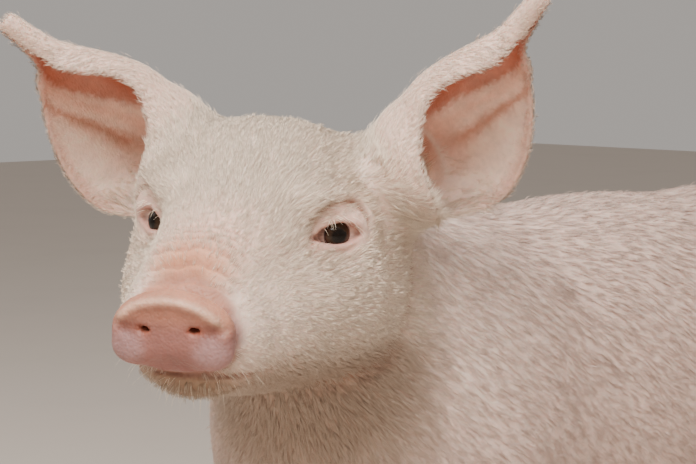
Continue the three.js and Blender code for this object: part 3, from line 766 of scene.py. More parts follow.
COLOURS = {
    "face": paint(224, 197, 180),
    "body": paint(212, 184, 170),
    # painted light: the neck is painted paler than the body, for the light that falls on it
    "neck": paint(242, 217, 203),
    # darker underside: partly a piglet's browner skin beneath, partly painted shade where light from above
    # doesn't reach
    "belly": paint(206, 172, 154),
    # painted shadow of the head on the throat and chest
    "throat_shadow": paint(178, 142, 120),
    "bridge": paint(200, 138, 104),
    # painted shade: darker in the folds and creases
    "crease": paint(164, 108, 84),
    # painted shade in the grooves that run out from the nostrils
    "groove": paint(142, 88, 74),
    "pad": paint(146, 97, 88),
    "pad_top": paint(166, 110, 88),
    "lobe": paint(156, 118, 114),
    "pad_side": paint(184, 128, 104),
    "blush": paint(216, 160, 138),
    # painted highlight: the top of the pad's rim is paler, where light from above catches it
    "rim": paint(216, 176, 150),
    "nostril": paint(150, 88, 70),
    # painted shadow under the pad's lower edge and in the line between the lips
    "lip_shadow": paint(140, 98, 82),
    # darker chin: painted shadow under the snout and the jaw, with a yellowish-brown stain on the chin
    "chin": paint(134, 102, 74),
    "lid": paint(218, 178, 162),
    "lid_edge": paint(190, 140, 126),
    "corner": paint(124, 84, 76),
    "lining": paint(216, 186, 174),
    # the pale inside of the ear, painted paler still as painted light, for light shining into and through it
    "ear_low_pale_and_lit": paint(255, 226, 206),
    # the ear's own deep red, darkened as painted shade under the overhanging roll, in the curled tip and down
    # at the root
    "ear_deep_red_and_shade": paint(186, 106, 78),
    "ear_shadow": paint(196, 134, 108),
    "ear_ridge": paint(238, 190, 166),
    "ear_rim": paint(204, 150, 132),
    "ear_back": paint(226, 190, 172),
    "foot": paint(214, 178, 162),
}


def patch(q, middle, half):
    """One at the middle of a soft egg, falling to nothing at its outline."""
    return smooth(length((q - middle) / np.asarray(half, float)), 1, 0.25)


class Canvas:
    """Colours of many points, painted one soft layer over another."""

    def __init__(self, count, colour):
        self.colour = np.tile(COLOURS[colour], (count, 1))

    def lay(self, share, colour):
        share = np.clip(share, 0, 1)[:, None]
        self.colour += share * (COLOURS[colour] - self.colour)


def ear_marks(q):
    """(gap, t, w, side, face, which ear) of the nearest ear, with a gap of FAR_OFF far from both."""
    found = np.full((len(q), 6), FAR_OFF)
    for n, ear in enumerate(ears.values()):
        gap, marks = ear.look(q)
        nearer = gap < found[:, 0]
        found[nearer] = np.column_stack([gap, marks, np.full(len(q), n)])[nearer]
    return found


def eye_share(q, reach):
    """(share near an eye, how far outside its opening) of points."""
    share, gape = np.zeros(len(q)), np.full(len(q), 99.0)
    for eye in eyes.values():
        out, temple, up = eye.seen(q)
        away = np.hypot((temple - 0.5) / 15, (up - 2) / 12)
        here = smooth(away, reach, 0.3) * smooth(out, -4, 3) * smooth(out, 22, 16)
        share = np.maximum(share, here)
        gape = np.where(here > 0, np.minimum(gape, eye.gape(q)), gape)
    return share, gape


def jowl_fold(p, q):
    """One in the fold where the jowl meets the neck, and nothing a little way from it."""
    apart = head_muscles(q) - neck(p)
    close = smooth(np.maximum(head_muscles(q), neck(p)), 6, 1)
    return np.exp(-(apart / 2.2) ** 2) * close * smooth(np.abs(q[:, 0]), 12, 30)


def tint(p, q, marks):
    """The colour of the skin at points of it."""
    left, forward, up = q[:, 0], -q[:, 1], q[:, 2]
    disc_spot = into_disc(q)
    on_face = smooth(forward, -75, -40) * smooth(p[:, 2], 170, 230)
    paintwork = Canvas(len(p), "body")
    # painted light: a paler neck, standing in for the light that falls on it
    paintwork.lay(smooth(-p[:, 1], 50, 140) * smooth(p[:, 2], 190, 250), "neck")
    # the underside painted darker: browner skin beneath, and painted shade where light from above doesn't
    # reach
    paintwork.lay(smooth(p[:, 2], 190, 130) * 0.8, "belly")
    paintwork.lay(smooth(p[:, 2], 70, 30) * 0.6, "foot")
    paintwork.lay(on_face, "face")
    paintwork.lay(patch(q, point(0, 62, -9), (25, 28, 19)), "bridge")
    # painted shade in the valleys of the wrinkles behind the pad
    paintwork.lay(smooth(-wrinkles(q), 0.05, 0.5) * 0.6, "crease")
    for s in (1, -1):
        paintwork.lay(patch(q, point(s * 24, 14, -2), (13, 12, 12)) * 0.35, "bridge")
    for eye in eyes.values():
        paintwork.lay(patch(q, eye.place(2, -6, 2), (26, 26, 22)) * 0.45, "blush")
    paintwork.lay(patch(q, point(0, 40, -2), (32, 34, 24)) * 0.5, "blush")
    # painted shade under the jaw, and under the pad a darker chin: painted shadow with a yellowish-brown
    # stain
    paintwork.lay(smooth(up, -38, -54) * on_face * 0.6, "chin")
    paintwork.lay(patch(q, point(0, 68, -52), (30, 26, 13)) * 0.8, "chin")
    from_rim = oval(disc_spot)
    # painted shadow just under the lower edge of the pad
    under = smooth(from_rim, 0.2, 1.6) * smooth(from_rim, 6, 3) * smooth(disc_spot[:, 2], -8, -13)
    paintwork.lay(under * smooth(forward, 62, 70) * 0.9, "lip_shadow")
    # painted shade in the fold where the jowl meets the neck
    paintwork.lay(jowl_fold(p, q) * 0.6, "crease")
    # painted shadow of the head, on the throat and the front of the chest
    paintwork.lay(patch(p, point(0, -215, 185), (75, 65, 50)) * 0.6, "throat_shadow")
    pad = smooth(forward, 70, 76) * smooth(from_rim, 5, 0.5)
    paintwork.lay(pad, "pad")
    paintwork.lay(pad * smooth(disc_spot[:, 2], 2, 9) * 0.8, "pad_top")
    lobe = np.hypot((np.abs(disc_spot[:, 0]) - 17) / 9, (disc_spot[:, 2] + 4.2) / 7)
    paintwork.lay(pad * smooth(lobe, 1.2, 0.4), "lobe")
    # painted highlight along the top of the raised rim, where light from above catches it
    rim = np.exp(-((from_rim + 1.2) / 1.4) ** 2) * smooth(disc_spot[:, 2], 0, 8)
    behind = smooth(disc_spot[:, 1], -4.2, -2.6) * smooth(disc_spot[:, 2], 2, 8)
    paintwork.lay(pad * behind, "pad_side")
    paintwork.lay(pad * rim * (1 - behind) * 0.7, "rim")
    # painted shade in the grooves that run out from the nostrils
    for s in (1, -1):
        tail = np.hypot((left - s * 15) / 8, (disc_spot[:, 2] - 3.4 - pit_rise[s]) / 2.1)
        paintwork.lay(smooth(tail, 1.3, 0.3) * pad * 0.75, "groove")
    for pit in pits:
        paintwork.lay(smooth(pit(q), 1.4, 0.2) * smooth(forward, 60, 66), "nostril")
    # painted shade in the line between the lips
    paintwork.lay(np.clip(lip_groove(q), 0, 1) * 0.8, "lip_shadow")
    share, gape = eye_share(q, 1.15)
    paintwork.lay(share * 0.8, "lid")
    for eye in eyes.values():
        out, temple, u = eye.seen(q)
        # painted shade along the crease of the upper lid, and a spot of it beyond the inner corner of the eye
        fold = np.exp(-(ring(eye, q, *lid_crease) / 1.1) ** 2) * smooth(out, -4, 3)
        paintwork.lay(fold * smooth(u, 0, 6) * smooth(out, 22, 16) * 0.75, "crease")
        paintwork.lay(patch(q, eye.place(6, -17, 3), (5, 5, 5)) * 0.5, "crease")
    paintwork.lay(share * smooth(gape, 1.6, 0.2), "lid_edge")
    paintwork.lay(share * smooth(gape, -0.5, -1.5), "lining")
    for eye in eyes.values():
        out, temple, u = eye.seen(q)
        corner = np.hypot((temple + 11.4) / 2.4, (u - 0.2) / 1.6)
        paintwork.lay(smooth(corner, 1.3, 0.4) * smooth(out, -2, 2) * 0.9, "corner")
    gap, t, w, side = marks[:, :4].T
    on_ear = smooth(gap, 1.2, 0.2) * smooth(t, 0.1, 0.28)
    inside = on_ear * (side > 0)
    paintwork.lay(on_ear * (side < 0) * 0.7, "ear_back")
    # pale inner ear, painted paler as painted light for light shining into and through the thin ear
    paintwork.lay(inside, "ear_low_pale_and_lit")
    from_ridge = w - ear_ridge_at(t)
    # the ear's own deep red, darkened as painted shade under the roll, in the curled tip and down at the root
    paintwork.lay(inside * smooth(from_ridge, 0.02, 0.08) * (0.85 + 0.15 * smooth(w, 0.42, 0.5)), "ear_deep_red_and_shade")
    paintwork.lay(inside * smooth(t, 0.62, 0.8) * 0.7, "ear_deep_red_and_shade")
    paintwork.lay(inside * smooth(from_ridge, -0.3, 0) * smooth(t, 0.42, 0.26) * 0.75, "ear_deep_red_and_shade")
    on_ridge = np.exp(-((from_ridge + 0.02) / 0.045) ** 2) * smooth(t, 0.2, 0.34)
    paintwork.lay(inside * on_ridge * 0.9, "ear_ridge")
    below = np.exp(-((from_ridge + 0.12) / 0.03) ** 2) * smooth(t, 0.24, 0.36)
    paintwork.lay(inside * below * 0.8, "ear_shadow")
    paintwork.lay(inside * smooth(w, 0.05, 0.01) * 0.6, "ear_rim")
    hollow = (side > 0) * smooth(gap, 14, 10) * smooth(gap, 0.5, 2)
    hollow = hollow * smooth(t, 0.04, 0.1) * smooth(t, 0.5, 0.4) * smooth(np.abs(w - 0.5), 0.48, 0.42)
    paintwork.lay(hollow * (0.35 + 0.65 * smooth(from_ridge, -0.25, 0.05)), "ear_shadow")
    return paintwork.colour


def damp(q):
    """How bare and moist the skin is: on the pad and on the rims of the lids."""
    pad = smooth(-q[:, 1], 70, 76) * smooth(oval(into_disc(q)), 4, 0)
    share, gape = eye_share(q, 1)
    return np.clip(np.maximum(pad, share * smooth(gape, 1.2, -0.2)), 0, 1)


skin_heads = into_head(places)
skin_marks = ear_marks(skin_heads)
skin_tint = tint(places, skin_heads, skin_marks)


def mark_points(mesh, name, kind, field, values):
    """A value on each point of a mesh, for a material or a node tree to read."""
    layer = mesh.attributes.new(name, kind, "POINT")
    layer.data.foreach_set(field, np.asarray(values, np.float32).ravel())


def colour_points(mesh, name, colours):
    mark_points(mesh, name, "FLOAT_COLOR", "color", np.column_stack([colours, np.ones(len(colours))]))


def number_points(mesh, name, values):
    mark_points(mesh, name, "FLOAT", "value", values)


def vector_points(mesh, name, vectors):
    mark_points(mesh, name, "FLOAT_VECTOR", "vector", vectors)


colour_points(skin_mesh, "tint", skin_tint)
number_points(skin_mesh, "damp", damp(skin_heads))
number_points(skin_mesh, "on_head", smooth(-skin_heads[:, 1], -75, -45) * smooth(places[:, 2], 190, 240))
number_points(skin_mesh, "on_leg", smooth(places[:, 2], 150, 110))
print("mean tint:", skin_tint.mean(0).round(3))

# %% [markdown]
# ## Skin as a material
# Light goes a few millimetres into live skin and comes out redder, which subsurface scattering
# gives. Small noise mottles the tint. The bump has two scales: pores and fine lines on the moist
# pad, and short hair lying flat everywhere else, drawn as noise stretched along the way it lies.

# %% A small helper for material nodes
class Shader:
    """A material with its Principled shader, and short calls that add nodes to it."""

    def __init__(self, name):
        self.material = bpy.data.materials.new(name)
        self.material.use_nodes = True
        self.nodes = self.material.node_tree.nodes
        self.surface = self.nodes["Principled BSDF"]

    def link(self, value, socket):
        if isinstance(value, bpy.types.NodeSocket):
            self.material.node_tree.links.new(value, socket)
        else:
            socket.default_value = value

    def add(self, kind, inputs=(), **settings):
        node = self.nodes.new("ShaderNode" + kind)
        for key, value in settings.items():
            setattr(node, key, value)
        for key, value in dict(inputs).items():
            self.link(value, node.inputs[key])
        return node

    def attribute(self, name):
        return self.add("Attribute", attribute_name=name)

    def place(self, stretch=(1, 1, 1), turn=(0, 0, 0)):
        """Object coordinates, turned and then stretched."""
        spot = self.add("TexCoord").outputs["Object"]
        turned = self.add("Mapping", {"Vector": spot, "Rotation": turn}).outputs["Vector"]
        return self.add("Mapping", {"Vector": turned, "Scale": stretch}).outputs["Vector"]

    def noise(self, scale, detail=3.0, rough=0.55, where=None):
        where = where or self.place()
        inputs = {"Vector": where, "Scale": scale, "Detail": detail, "Roughness": rough}
        return self.add("TexNoise", inputs).outputs["Fac"]

    def spread(self, value, low, high, to_low=0.0, to_high=1.0):
        inputs = {"Value": value, "From Min": low, "From Max": high, "To Min": to_low, "To Max": to_high}
        return self.add("MapRange", inputs).outputs["Result"]

    def maths(self, operation, a, b=0.0):
        node = self.add("Math", operation=operation)
        self.link(a, node.inputs[0])
        self.link(b, node.inputs[1])
        return node.outputs[0]

    def mix(self, share, a, b, blend="MIX"):
        node = self.add("Mix", data_type="RGBA", blend_type=blend)
        self.link(share, node.inputs["Factor"])
        self.link(a, node.inputs[6])
        self.link(b, node.inputs[7])
        return node.outputs[2]

    def dimmed(self, colour, factor):
        """A colour multiplied by one number."""
        grey = self.add("CombineColor", {"Red": factor, "Green": factor, "Blue": factor})
        return self.mix(1.0, colour, grey.outputs["Color"], "MULTIPLY")

    def bump(self, height, distance, strength=1.0, under=None):
        inputs = {"Height": height, "Distance": distance, "Strength": strength}
        if under is not None:
            inputs["Normal"] = under
        return self.add("Bump", inputs).outputs["Normal"]

    def set(self, **inputs):
        for key, value in inputs.items():
            self.link(value, self.surface.inputs[key.replace("_", " ")])


# %% Skin material
skin_shade = Shader("piglet_skin")
mottle = skin_shade.spread(skin_shade.noise(95, 4, 0.6), 0.35, 0.65, 0.9, 1.08)
freckle = skin_shade.spread(skin_shade.noise(420, 2), 0.3, 0.7, 0.94, 1.05)
both = skin_shade.maths("MULTIPLY", mottle, freckle)
skin_colour = skin_shade.dimmed(skin_shade.attribute("tint").outputs["Color"], both)
bare = skin_shade.attribute("damp").outputs["Fac"]
on_head = skin_shade.attribute("on_head").outputs["Fac"]
on_leg = skin_shade.attribute("on_leg").outputs["Fac"]
head_way = skin_shade.place((1, 0.13, 0.5), (0, 0, -math.radians(head_turn)))
head_hair = skin_shade.noise(1500, 2, where=head_way)
trunk_hair = skin_shade.noise(1100, 2, where=skin_shade.place((1, 0.09, 0.8)))
leg_hair = skin_shade.noise(1300, 2, where=skin_shade.place((1, 1, 0.12)))
lying = skin_shade.mix(on_head, trunk_hair, head_hair)
lying = skin_shade.mix(on_leg, lying, leg_hair)
pore_cells = {"Vector": skin_shade.place(), "Scale": 900}
pores = skin_shade.add("TexVoronoi", pore_cells, feature="SMOOTH_F1").outputs[0]
grain = skin_shade.mix(bare, lying, pores)
folds = skin_shade.bump(skin_shade.noise(170, 5, 0.6), 0.0011, 0.5)
fine = skin_shade.bump(grain, 0.0004, 0.75, folds)
skin_shade.set(Base_Color=skin_colour, Normal=fine, Roughness=skin_shade.spread(bare, 0, 1, 0.62, 0.46),
               Subsurface_Weight=0.3, Subsurface_Radius=(1.0, 0.4, 0.25), Subsurface_Scale=0.004,
               Specular_IOR_Level=0.35)
skin_mesh.materials.append(skin_shade.material)
flesh = [name for name in nodes if name.split("_")[0] not in ("eye", "claw", "dewclaw")]
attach(skin_piece, "root")
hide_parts(*flesh)
print("the skin stands for", len(flesh), "nodes of flesh")

# %% [markdown]
# ## A map for the coat
# Thousands of hairs can't each have room on a texture. Each is given one small patch of the map,
# at the place of its root on an unwrap of the skin. A thinned copy of the skin is unwrapped for it.

# %% Unwrap of the skin
MAP_FACES = 7000
outline = shown("outline", skin_mesh.copy())
coarse = outline.modifiers.new("coarse", "DECIMATE")
coarse.ratio = min(1, MAP_FACES / len(triangles))
outline_mesh = baked(outline)
bpy.context.view_layer.objects.active = outline
outline.select_set(True)
bpy.ops.object.mode_set(mode="EDIT")
bpy.ops.mesh.select_all(action="SELECT")
bpy.ops.uv.smart_project(angle_limit=math.radians(70), island_margin=0.004)
bpy.ops.object.mode_set(mode="OBJECT")
outline_places, outline_faces, _ = mesh_arrays(outline_mesh)
flat = np.empty(len(outline_mesh.loops) * 2, np.float32)
outline_mesh.uv_layers.active.data.foreach_get("uv", flat)
loops = np.array([tri.loops[:] for tri in outline_mesh.loop_triangles])
outline_flat = flat.reshape(-1, 2)[loops]
outline_tree = BVHTree.FromPolygons(outline_places.tolist(), outline_faces.tolist())
bpy.data.objects.remove(outline)


def on_map(spots):
    """Where places on the skin are on the unwrap."""
    found = [outline_tree.find_nearest(Vector(spot)) for spot in spots]
    face = np.array([hit[2] for hit in found])
    near = np.array([hit[0] for hit in found])
    a, b, c = np.moveaxis(outline_places[outline_faces[face]], 1, 0)
    whole = np.cross(b - a, c - a)
    size = np.maximum(np.einsum("ij,ij->i", whole, whole), 1e-12)
    share_b = np.einsum("ij,ij->i", np.cross(near - a, c - a), whole) / size
    share_c = np.einsum("ij,ij->i", np.cross(b - a, near - a), whole) / size
    flat_a, flat_b, flat_c = np.moveaxis(outline_flat[face], 1, 0)
    return flat_a + share_b[:, None] * (flat_b - flat_a) + share_c[:, None] * (flat_c - flat_a)


def lay_on_map(mesh, corners):
    """The mesh's places on the map, one for each corner of each face."""
    layer = mesh.uv_layers.new(name="OFBake")
    layer.data.foreach_set("uv", corners.astype(np.float32).ravel())


print("unwrapped", len(outline_faces), "faces")

# %% [markdown]
# ## Where hair grows and how it lies
# Every hair has a length, a width, a lift and a crowd round it, and they change smoothly over the
# body: short and sparse on the bridge, dense on the brow, longer down the cheeks, thin on the ears.
# The coat lies back from the nose, fans over the brow, runs to the tips of the ears, and goes back
# and down over the trunk. Nothing grows on the pad, in the eyes or deep in the ears.

# %% Growth rules
def growth(p, q, marks):
    """(hairs in a square mm, length, half width, lift of the tip), in mm."""
    left, forward, up = np.abs(q[:, 0]), -q[:, 1], q[:, 2]
    head = smooth(forward, -72, -48) * smooth(p[:, 2], 190, 230)
    neck_share = smooth(-p[:, 1], 90, 150) * (1 - head)
    low_leg = smooth(p[:, 2], 150, 95)
    crowd = 0.46 + 0.24 * neck_share + 0.3 * low_leg
    long = 10.5 - 1.5 * neck_share - 4 * low_leg - 2 * smooth(p[:, 2], 60, 25)
    wide = 0.09
    lift = 0.65
    muzzle = smooth(forward, 22, 62)
    brow = smooth(up, -12, 4) * (1 - muzzle)
    jaw = smooth(up, -34, -50)
    face_crowd = 1.7 + 0.6 * brow - 0.3 * muzzle - 0.3 * jaw
    bridge = patch(q, point(0, 64, -12), (24, 22, 18))
    face_crowd = face_crowd * (1 - 0.85 * bridge)
    face_long = 8.0 + 2.0 * brow - 4.0 * muzzle + 3.2 * jaw
    face_lift = 0.9 - 0.2 * brow - 0.4 * muzzle + 1.0 * jaw
    crowd = crowd + head * (face_crowd - crowd)
    long = long + head * (face_long - long)
    wide = wide + head * (0.085 - 0.015 * muzzle - wide)
    lift = lift + head * (face_lift - lift)
    share, gape = eye_share(q, 1)
    lid = smooth(share, 0.06, 0.42)
    long = long * (1 - 0.7 * lid)
    lift = lift * (1 - 0.75 * lid)
    crowd = crowd * (1 - 0.6 * lid) * smooth(gape, 1.8, 4)
    wide = wide * (1 - 0.35 * lid)
    for eye in eyes.values():
        fold = np.exp(-(ring(eye, q, *lid_crease) / 1.6) ** 2) * smooth(eye.seen(q)[0], -4, 3)
        crowd = crowd * (1 - 0.9 * fold * smooth(eye.seen(q)[2], 0, 6))
    for s, eye in zip((1, -1), eyes.values()):
        crowd = crowd * (1 - 0.6 * patch(q, point(s * 24, 14, -2), (13, 12, 12)))
        crowd = crowd * (1 - smooth(length(q - eye.place(8, -13, -0.5)), 5.5, 3.5))
    crowd = crowd * (1 - 0.6 * jowl_fold(p, q))
    from_rim = oval(into_disc(q))
    pad = smooth(forward, 68, 74) * smooth(from_rim, 3, 1)
    pad = np.maximum(pad, smooth(from_rim, -3, -6) * smooth(forward, 45, 55))
    crowd = crowd * (1 - pad) * smooth(lip_groove(q), 0.9, 0.3)
    gap, t, w, side = marks[:, :4].T
    on_ear = smooth(gap, 1.5, 0.3) * smooth(t, 0.12, 0.3)
    rim = np.maximum(smooth(w, 0.1, 0.02), smooth(w, 0.93, 0.99))
    inside = side > 0
    ear_crowd = np.where(inside, 1.6 * rim, 1.7 + 0.6 * rim)
    crowd = crowd + on_ear * (ear_crowd - crowd)
    long = long + on_ear * (np.where(inside, 2.8, 4.8) - 1.2 * smooth(t, 0.7, 1) - long)
    wide = wide + on_ear * (0.075 - wide)
    lift = lift + on_ear * (0.4 + 0.5 * rim - lift)
    hollow = inside * smooth(gap, 14, 10) * smooth(t, 0.02, 0.08) * smooth(np.abs(w - 0.5), 0.49, 0.44)
    crowd = crowd * (1 - 0.97 * hollow * (1 - on_ear))
    claw = smooth(p[:, 2], hoof_height + 1, hoof_height + 5)
    return crowd * claw, long, wide, lift


def lie(p, q, marks, normal):
    """The way hair lies at points of the skin, along the skin."""
    head = smooth(-q[:, 1], -80, -45)[:, None] * smooth(p[:, 2], 170, 220)[:, None]
    fan = q - point(9, 104, -40)
    fan[:, 0] *= 1.75
    fan /= length(fan)[:, None]
    cheek = smooth(q[:, 2], 0, -42)[:, None]
    chin = smooth(q[:, 2], -38, -58)[:, None] * smooth(-q[:, 1], -20, 30)[:, None]
    fan += cheek * (0, 0.15, -0.42) + chin * (0, 0.1, -0.5)
    for eye in eyes.values():
        out, temple, up = eye.seen(q)
        above = smooth(np.hypot(temple / 30, (up - 14) / 16), 1, 0.2)[:, None]
        fan += above * 0.7 * eye.temple
    fan = fan @ head_axes.T
    flank = smooth(np.abs(p[:, 0]), 5, 60)
    back = np.stack([0 * flank, np.ones(len(p)), -0.15 - 0.5 * flank], 1)
    nape = smooth(-p[:, 1], 90, 200)[:, None]
    back += nape * (-0.25, 0, -0.15)
    leg = smooth(p[:, 2], 165, 110)[:, None]
    way = back + leg * (np.array([0, 0.25, -1.0]) - back)
    way = way + head * (fan - way)
    for n, ear in enumerate(ears.values()):
        mine = marks[:, 5] == n
        t, w = marks[mine, 1], marks[mine, 2]
        face = marks[mine, 4].astype(int)
        tipward = ear.tipward[face] / length(ear.tipward[face])[:, None]
        inward = ear.inward[face] / length(ear.inward[face])[:, None]
        outward = (smooth(w, 0.6, 1.0) - smooth(w, 0.45, 0.0))[:, None] * 0.7
        share = (smooth(t, 0.12, 0.34) * smooth(marks[mine, 0], 3, 0.5))[:, None]
        own = (tipward + outward * inward) @ head_axes.T
        way[mine] = way[mine] + share * (own - way[mine])
    way -= np.einsum("ij,ij->i", way, normal)[:, None] * normal
    return way / np.maximum(length(way), 1e-6)[:, None]


# %% Roots
rng = np.random.default_rng(7)


def scattered(crowd_at):
    """Roots over the skin, as many in each triangle as its size and the crowd there ask for."""
    a, b, c = places[triangles[:, 0]], places[triangles[:, 1]], places[triangles[:, 2]]
    area = length(np.cross(b - a, c - a)) / 2
    wanted = area * crowd_at[triangles].mean(1)
    count = np.floor(wanted + rng.random(len(wanted))).astype(int)
    face = np.repeat(np.arange(len(triangles)), count)
    u, v = rng.random((2, len(face)))
    over = u + v > 1
    u[over], v[over] = 1 - u[over], 1 - v[over]
    shares = np.stack([1 - u - v, u, v], 1)[:, :, None]
    spots = (places[triangles[face]] * shares).sum(1)
    facing = (normals[triangles[face]] * shares).sum(1)
    return spots, facing / length(facing)[:, None]


TUFT = 3  # hairs that share a root and part at their tips
crowd = growth(places, skin_heads, skin_marks)[0]
roots, root_normals = scattered(crowd / TUFT)
root_heads = into_head(roots)
root_marks = ear_marks(root_heads)
print("tufts:", len(roots), "hairs:", TUFT * len(roots))

# %% [markdown]
# ## The coat
# A hair is a spindle of six triangles: a point under the skin, a ring of three where it bends over,
# and the tip. Three hairs share a root and part a little, which makes the fine locks that show as
# streaks. The bend and the tip are set above the skin by the same distance rule, so that hair
# follows a hollow as well as a swell. Arrays make a quarter of a million of them in seconds.

# %% Bending the hairs over the skin
COLOURS["hair_face"] = paint(255, 240, 216)
COLOURS["hair_body"] = paint(236, 216, 202)


def waves(p, size):
    """Smooth random numbers between -1 and 1 that change over the given size."""
    total = np.zeros(len(p))
    for turn in ((0.9, 0.4, 0.2), (-0.3, 0.8, 0.5), (0.5, -0.6, 0.7)):
        total += np.sin(p @ np.array(turn) * 2 * math.pi / size + 3 * np.sin(p @ np.roll(turn, 1) / size))
    return total / 3


def raised(spot, normal, height, most=3.0):
    """Places moved along the normal until they stand at a height over the skin."""
    gap = in_batches(skin, spot)
    return spot + np.clip(height - gap, -most, most)[:, None] * normal


crowd, long, wide, lift = growth(roots, root_heads, root_marks)
way = lie(roots, root_heads, root_marks, root_normals)
side = np.cross(way, root_normals)
swerve = 0.16 * waves(roots, 9) + 0.14 * waves(roots, 31) + rng.normal(0, 0.09, len(roots))
way = way * np.cos(swerve)[:, None] + side * np.sin(swerve)[:, None]
long = long * rng.uniform(0.75, 1.25, len(roots))
stray = rng.random(len(roots)) < 0.07
lift = lift * rng.uniform(0.6, 1.4, len(roots)) + stray * rng.uniform(0.5, 2.0, len(roots))
on_ear = smooth(root_marks[:, 0], 1.5, 0.5) * smooth(root_marks[:, 1], 0.2, 0.4)
bend = raised(roots + way * (0.4 * long)[:, None], root_normals, 0.62 * lift)
tip = raised(roots + way * long[:, None], root_normals, lift)
print("longest hair:", long.max().round(1), "mm; mean lift:", lift.mean().round(2), "mm")

# %% Hairs as arrays
# each hair takes the skin's tint at its root, painted shade and light included
hair_colour = tint(roots, root_heads, root_marks)
head_share = (smooth(-root_heads[:, 1], -80, -50) * smooth(roots[:, 2], 170, 220))[:, None]
white = COLOURS["hair_body"] + head_share * (COLOURS["hair_face"] - COLOURS["hair_body"])
# chin hairs take more of the skin's tint, so they carry its painted shadow and the chin's stain
chin_share = smooth(root_heads[:, 2], -36, -54)[:, None] * head_share
pinker = 0.36 + 0.56 * (1 - head_share) + 0.2 * on_ear[:, None] + 0.45 * chin_share
hair_colour = (white + pinker * (hair_colour - white)) * rng.uniform(0.93, 1.04, (len(roots), 1))
root_flat = on_map(roots)


def hair_arrays(chosen):
    """(places, faces, colours, map) of the hairs of the chosen tufts."""
    n = np.repeat(chosen, TUFT)
    which = np.tile(np.arange(TUFT) - (TUFT - 1) / 2, len(chosen))
    up, along, across = root_normals[n], way[n], np.cross(way[n], root_normals[n])
    apart = (which * 0.3 + rng.normal(0, 0.12, len(n)))[:, None] * across
    apart = apart + rng.normal(0, 0.5, (len(n), 1)) * along
    part = rng.normal(0, 0.07, (len(n), 1)) * long[n][:, None] * across
    reach = rng.uniform(-0.22, 0.05, (len(n), 1)) * long[n][:, None] * along
    start = roots[n] + apart - 0.5 * up
    middle = bend[n] + apart + 0.4 * part
    end = tip[n] + apart * 0.6 + part + reach + rng.normal(0, 0.12, (len(n), 1)) * up
    thick = (wide[n] * rng.uniform(0.8, 1.2, len(n)))[:, None]
    ring = [middle + thick * (0.45 * up), middle - thick * across, middle + thick * across]
    spots = np.stack([start, *ring, end], 1)
    shape = np.array([[2, 1, 0], [3, 2, 0], [1, 3, 0], [1, 2, 4], [2, 3, 4], [3, 1, 4]])
    faces = (np.arange(len(n))[:, None, None] * 5 + shape).reshape(-1, 3)
    # painted shade and light along each hair: a little darker at the root, a little lighter at the tip
    shades = hair_colour[n][:, None, :] * np.array([0.94, 1, 1, 1, 1.03])[:, None]
    patch_spots = np.array([(0, -1.5), (-0.8, 0), (0.8, 0), (0, 0.4), (0, 1.5)]) * 0.001
    flat = root_flat[n][:, None, :] + patch_spots + (which * 0.0004)[:, None, None] * (1, 0)
    return spots.reshape(-1, 3), faces, np.clip(shades.reshape(-1, 3), 0, 1), flat.reshape(-1, 2)


# %% Hair material
hair_shade = Shader("piglet_hair")
streak = hair_shade.spread(hair_shade.noise(600, 2), 0.3, 0.7, 0.96, 1.03)
hair_tint = hair_shade.dimmed(hair_shade.attribute("tint").outputs["Color"], streak)
hair_shade.set(Base_Color=hair_tint, Roughness=0.5, Specular_IOR_Level=0.35)

# %% Coat pieces
def region(p, q, marks):
    """The name of the part of the coat that each root belongs to."""
    names = np.where(-p[:, 1] > 20, "coat_shoulders", "coat_flanks").astype("U24")
    names[-p[:, 1] > 120] = "coat_neck"
    names[-p[:, 1] < -90] = "coat_rump"
    low = p[:, 2] < 150
    names[low & (-p[:, 1] > -20)] = "coat_forelegs"
    names[low & (-p[:, 1] <= -20)] = "coat_hindlegs"
    belly = low & (p[:, 2] > 118) & (np.abs(-p[:, 1] + 10) < 75)
    names[belly] = "coat_belly"
    head = (-q[:, 1] > -62) & (p[:, 2] > 210)
    names[head] = np.where(q[head, 0] > 0, "coat_cheek_left", "coat_cheek_right")
    names[head & (q[:, 2] > -6)] = "coat_brow"
    names[head & (-q[:, 1] > 34)] = "coat_muzzle"
    for n, name in enumerate(ears):
        names[(marks[:, 5] == n) & (marks[:, 0] < 1.5) & (marks[:, 1] > 0.14)] = "coat_ear_" + name
    return names


MOST_TUFTS = 10800  # in one piece, so that it stays under 200,000 triangles
names = region(roots, root_heads, root_marks)
coat = []
for name in sorted(set(names)):
    chosen = np.flatnonzero(names == name)
    chosen = chosen[np.argsort(roots[chosen, 1], kind="stable")]
    parts = math.ceil(len(chosen) / MOST_TUFTS)
    for n, share in enumerate(np.array_split(chosen, parts)):
        spots, faces, shades, flat = hair_arrays(share)
        label = name if parts == 1 else f"{name}_{n + 1}"
        mesh = mesh_from(label, spots, faces)
        colour_points(mesh, "tint", shades)
        lay_on_map(mesh, flat[faces.ravel()])
        mesh.materials.append(hair_shade.material)
        piece = shown(label, mesh)
        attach(piece, "root")
        coat.append(piece)
        print(label, len(faces), "triangles")

# %% [markdown]
# ## Lashes and whiskers
# The few long bristles of the lids, lips and chin stand out one by one. They all have one shape, a
# thin taper that droops, so Geometry Nodes set one on each root, along the way that the root
# states. Realizing the instances makes them plain mesh, and each keeps its root's place on the map.

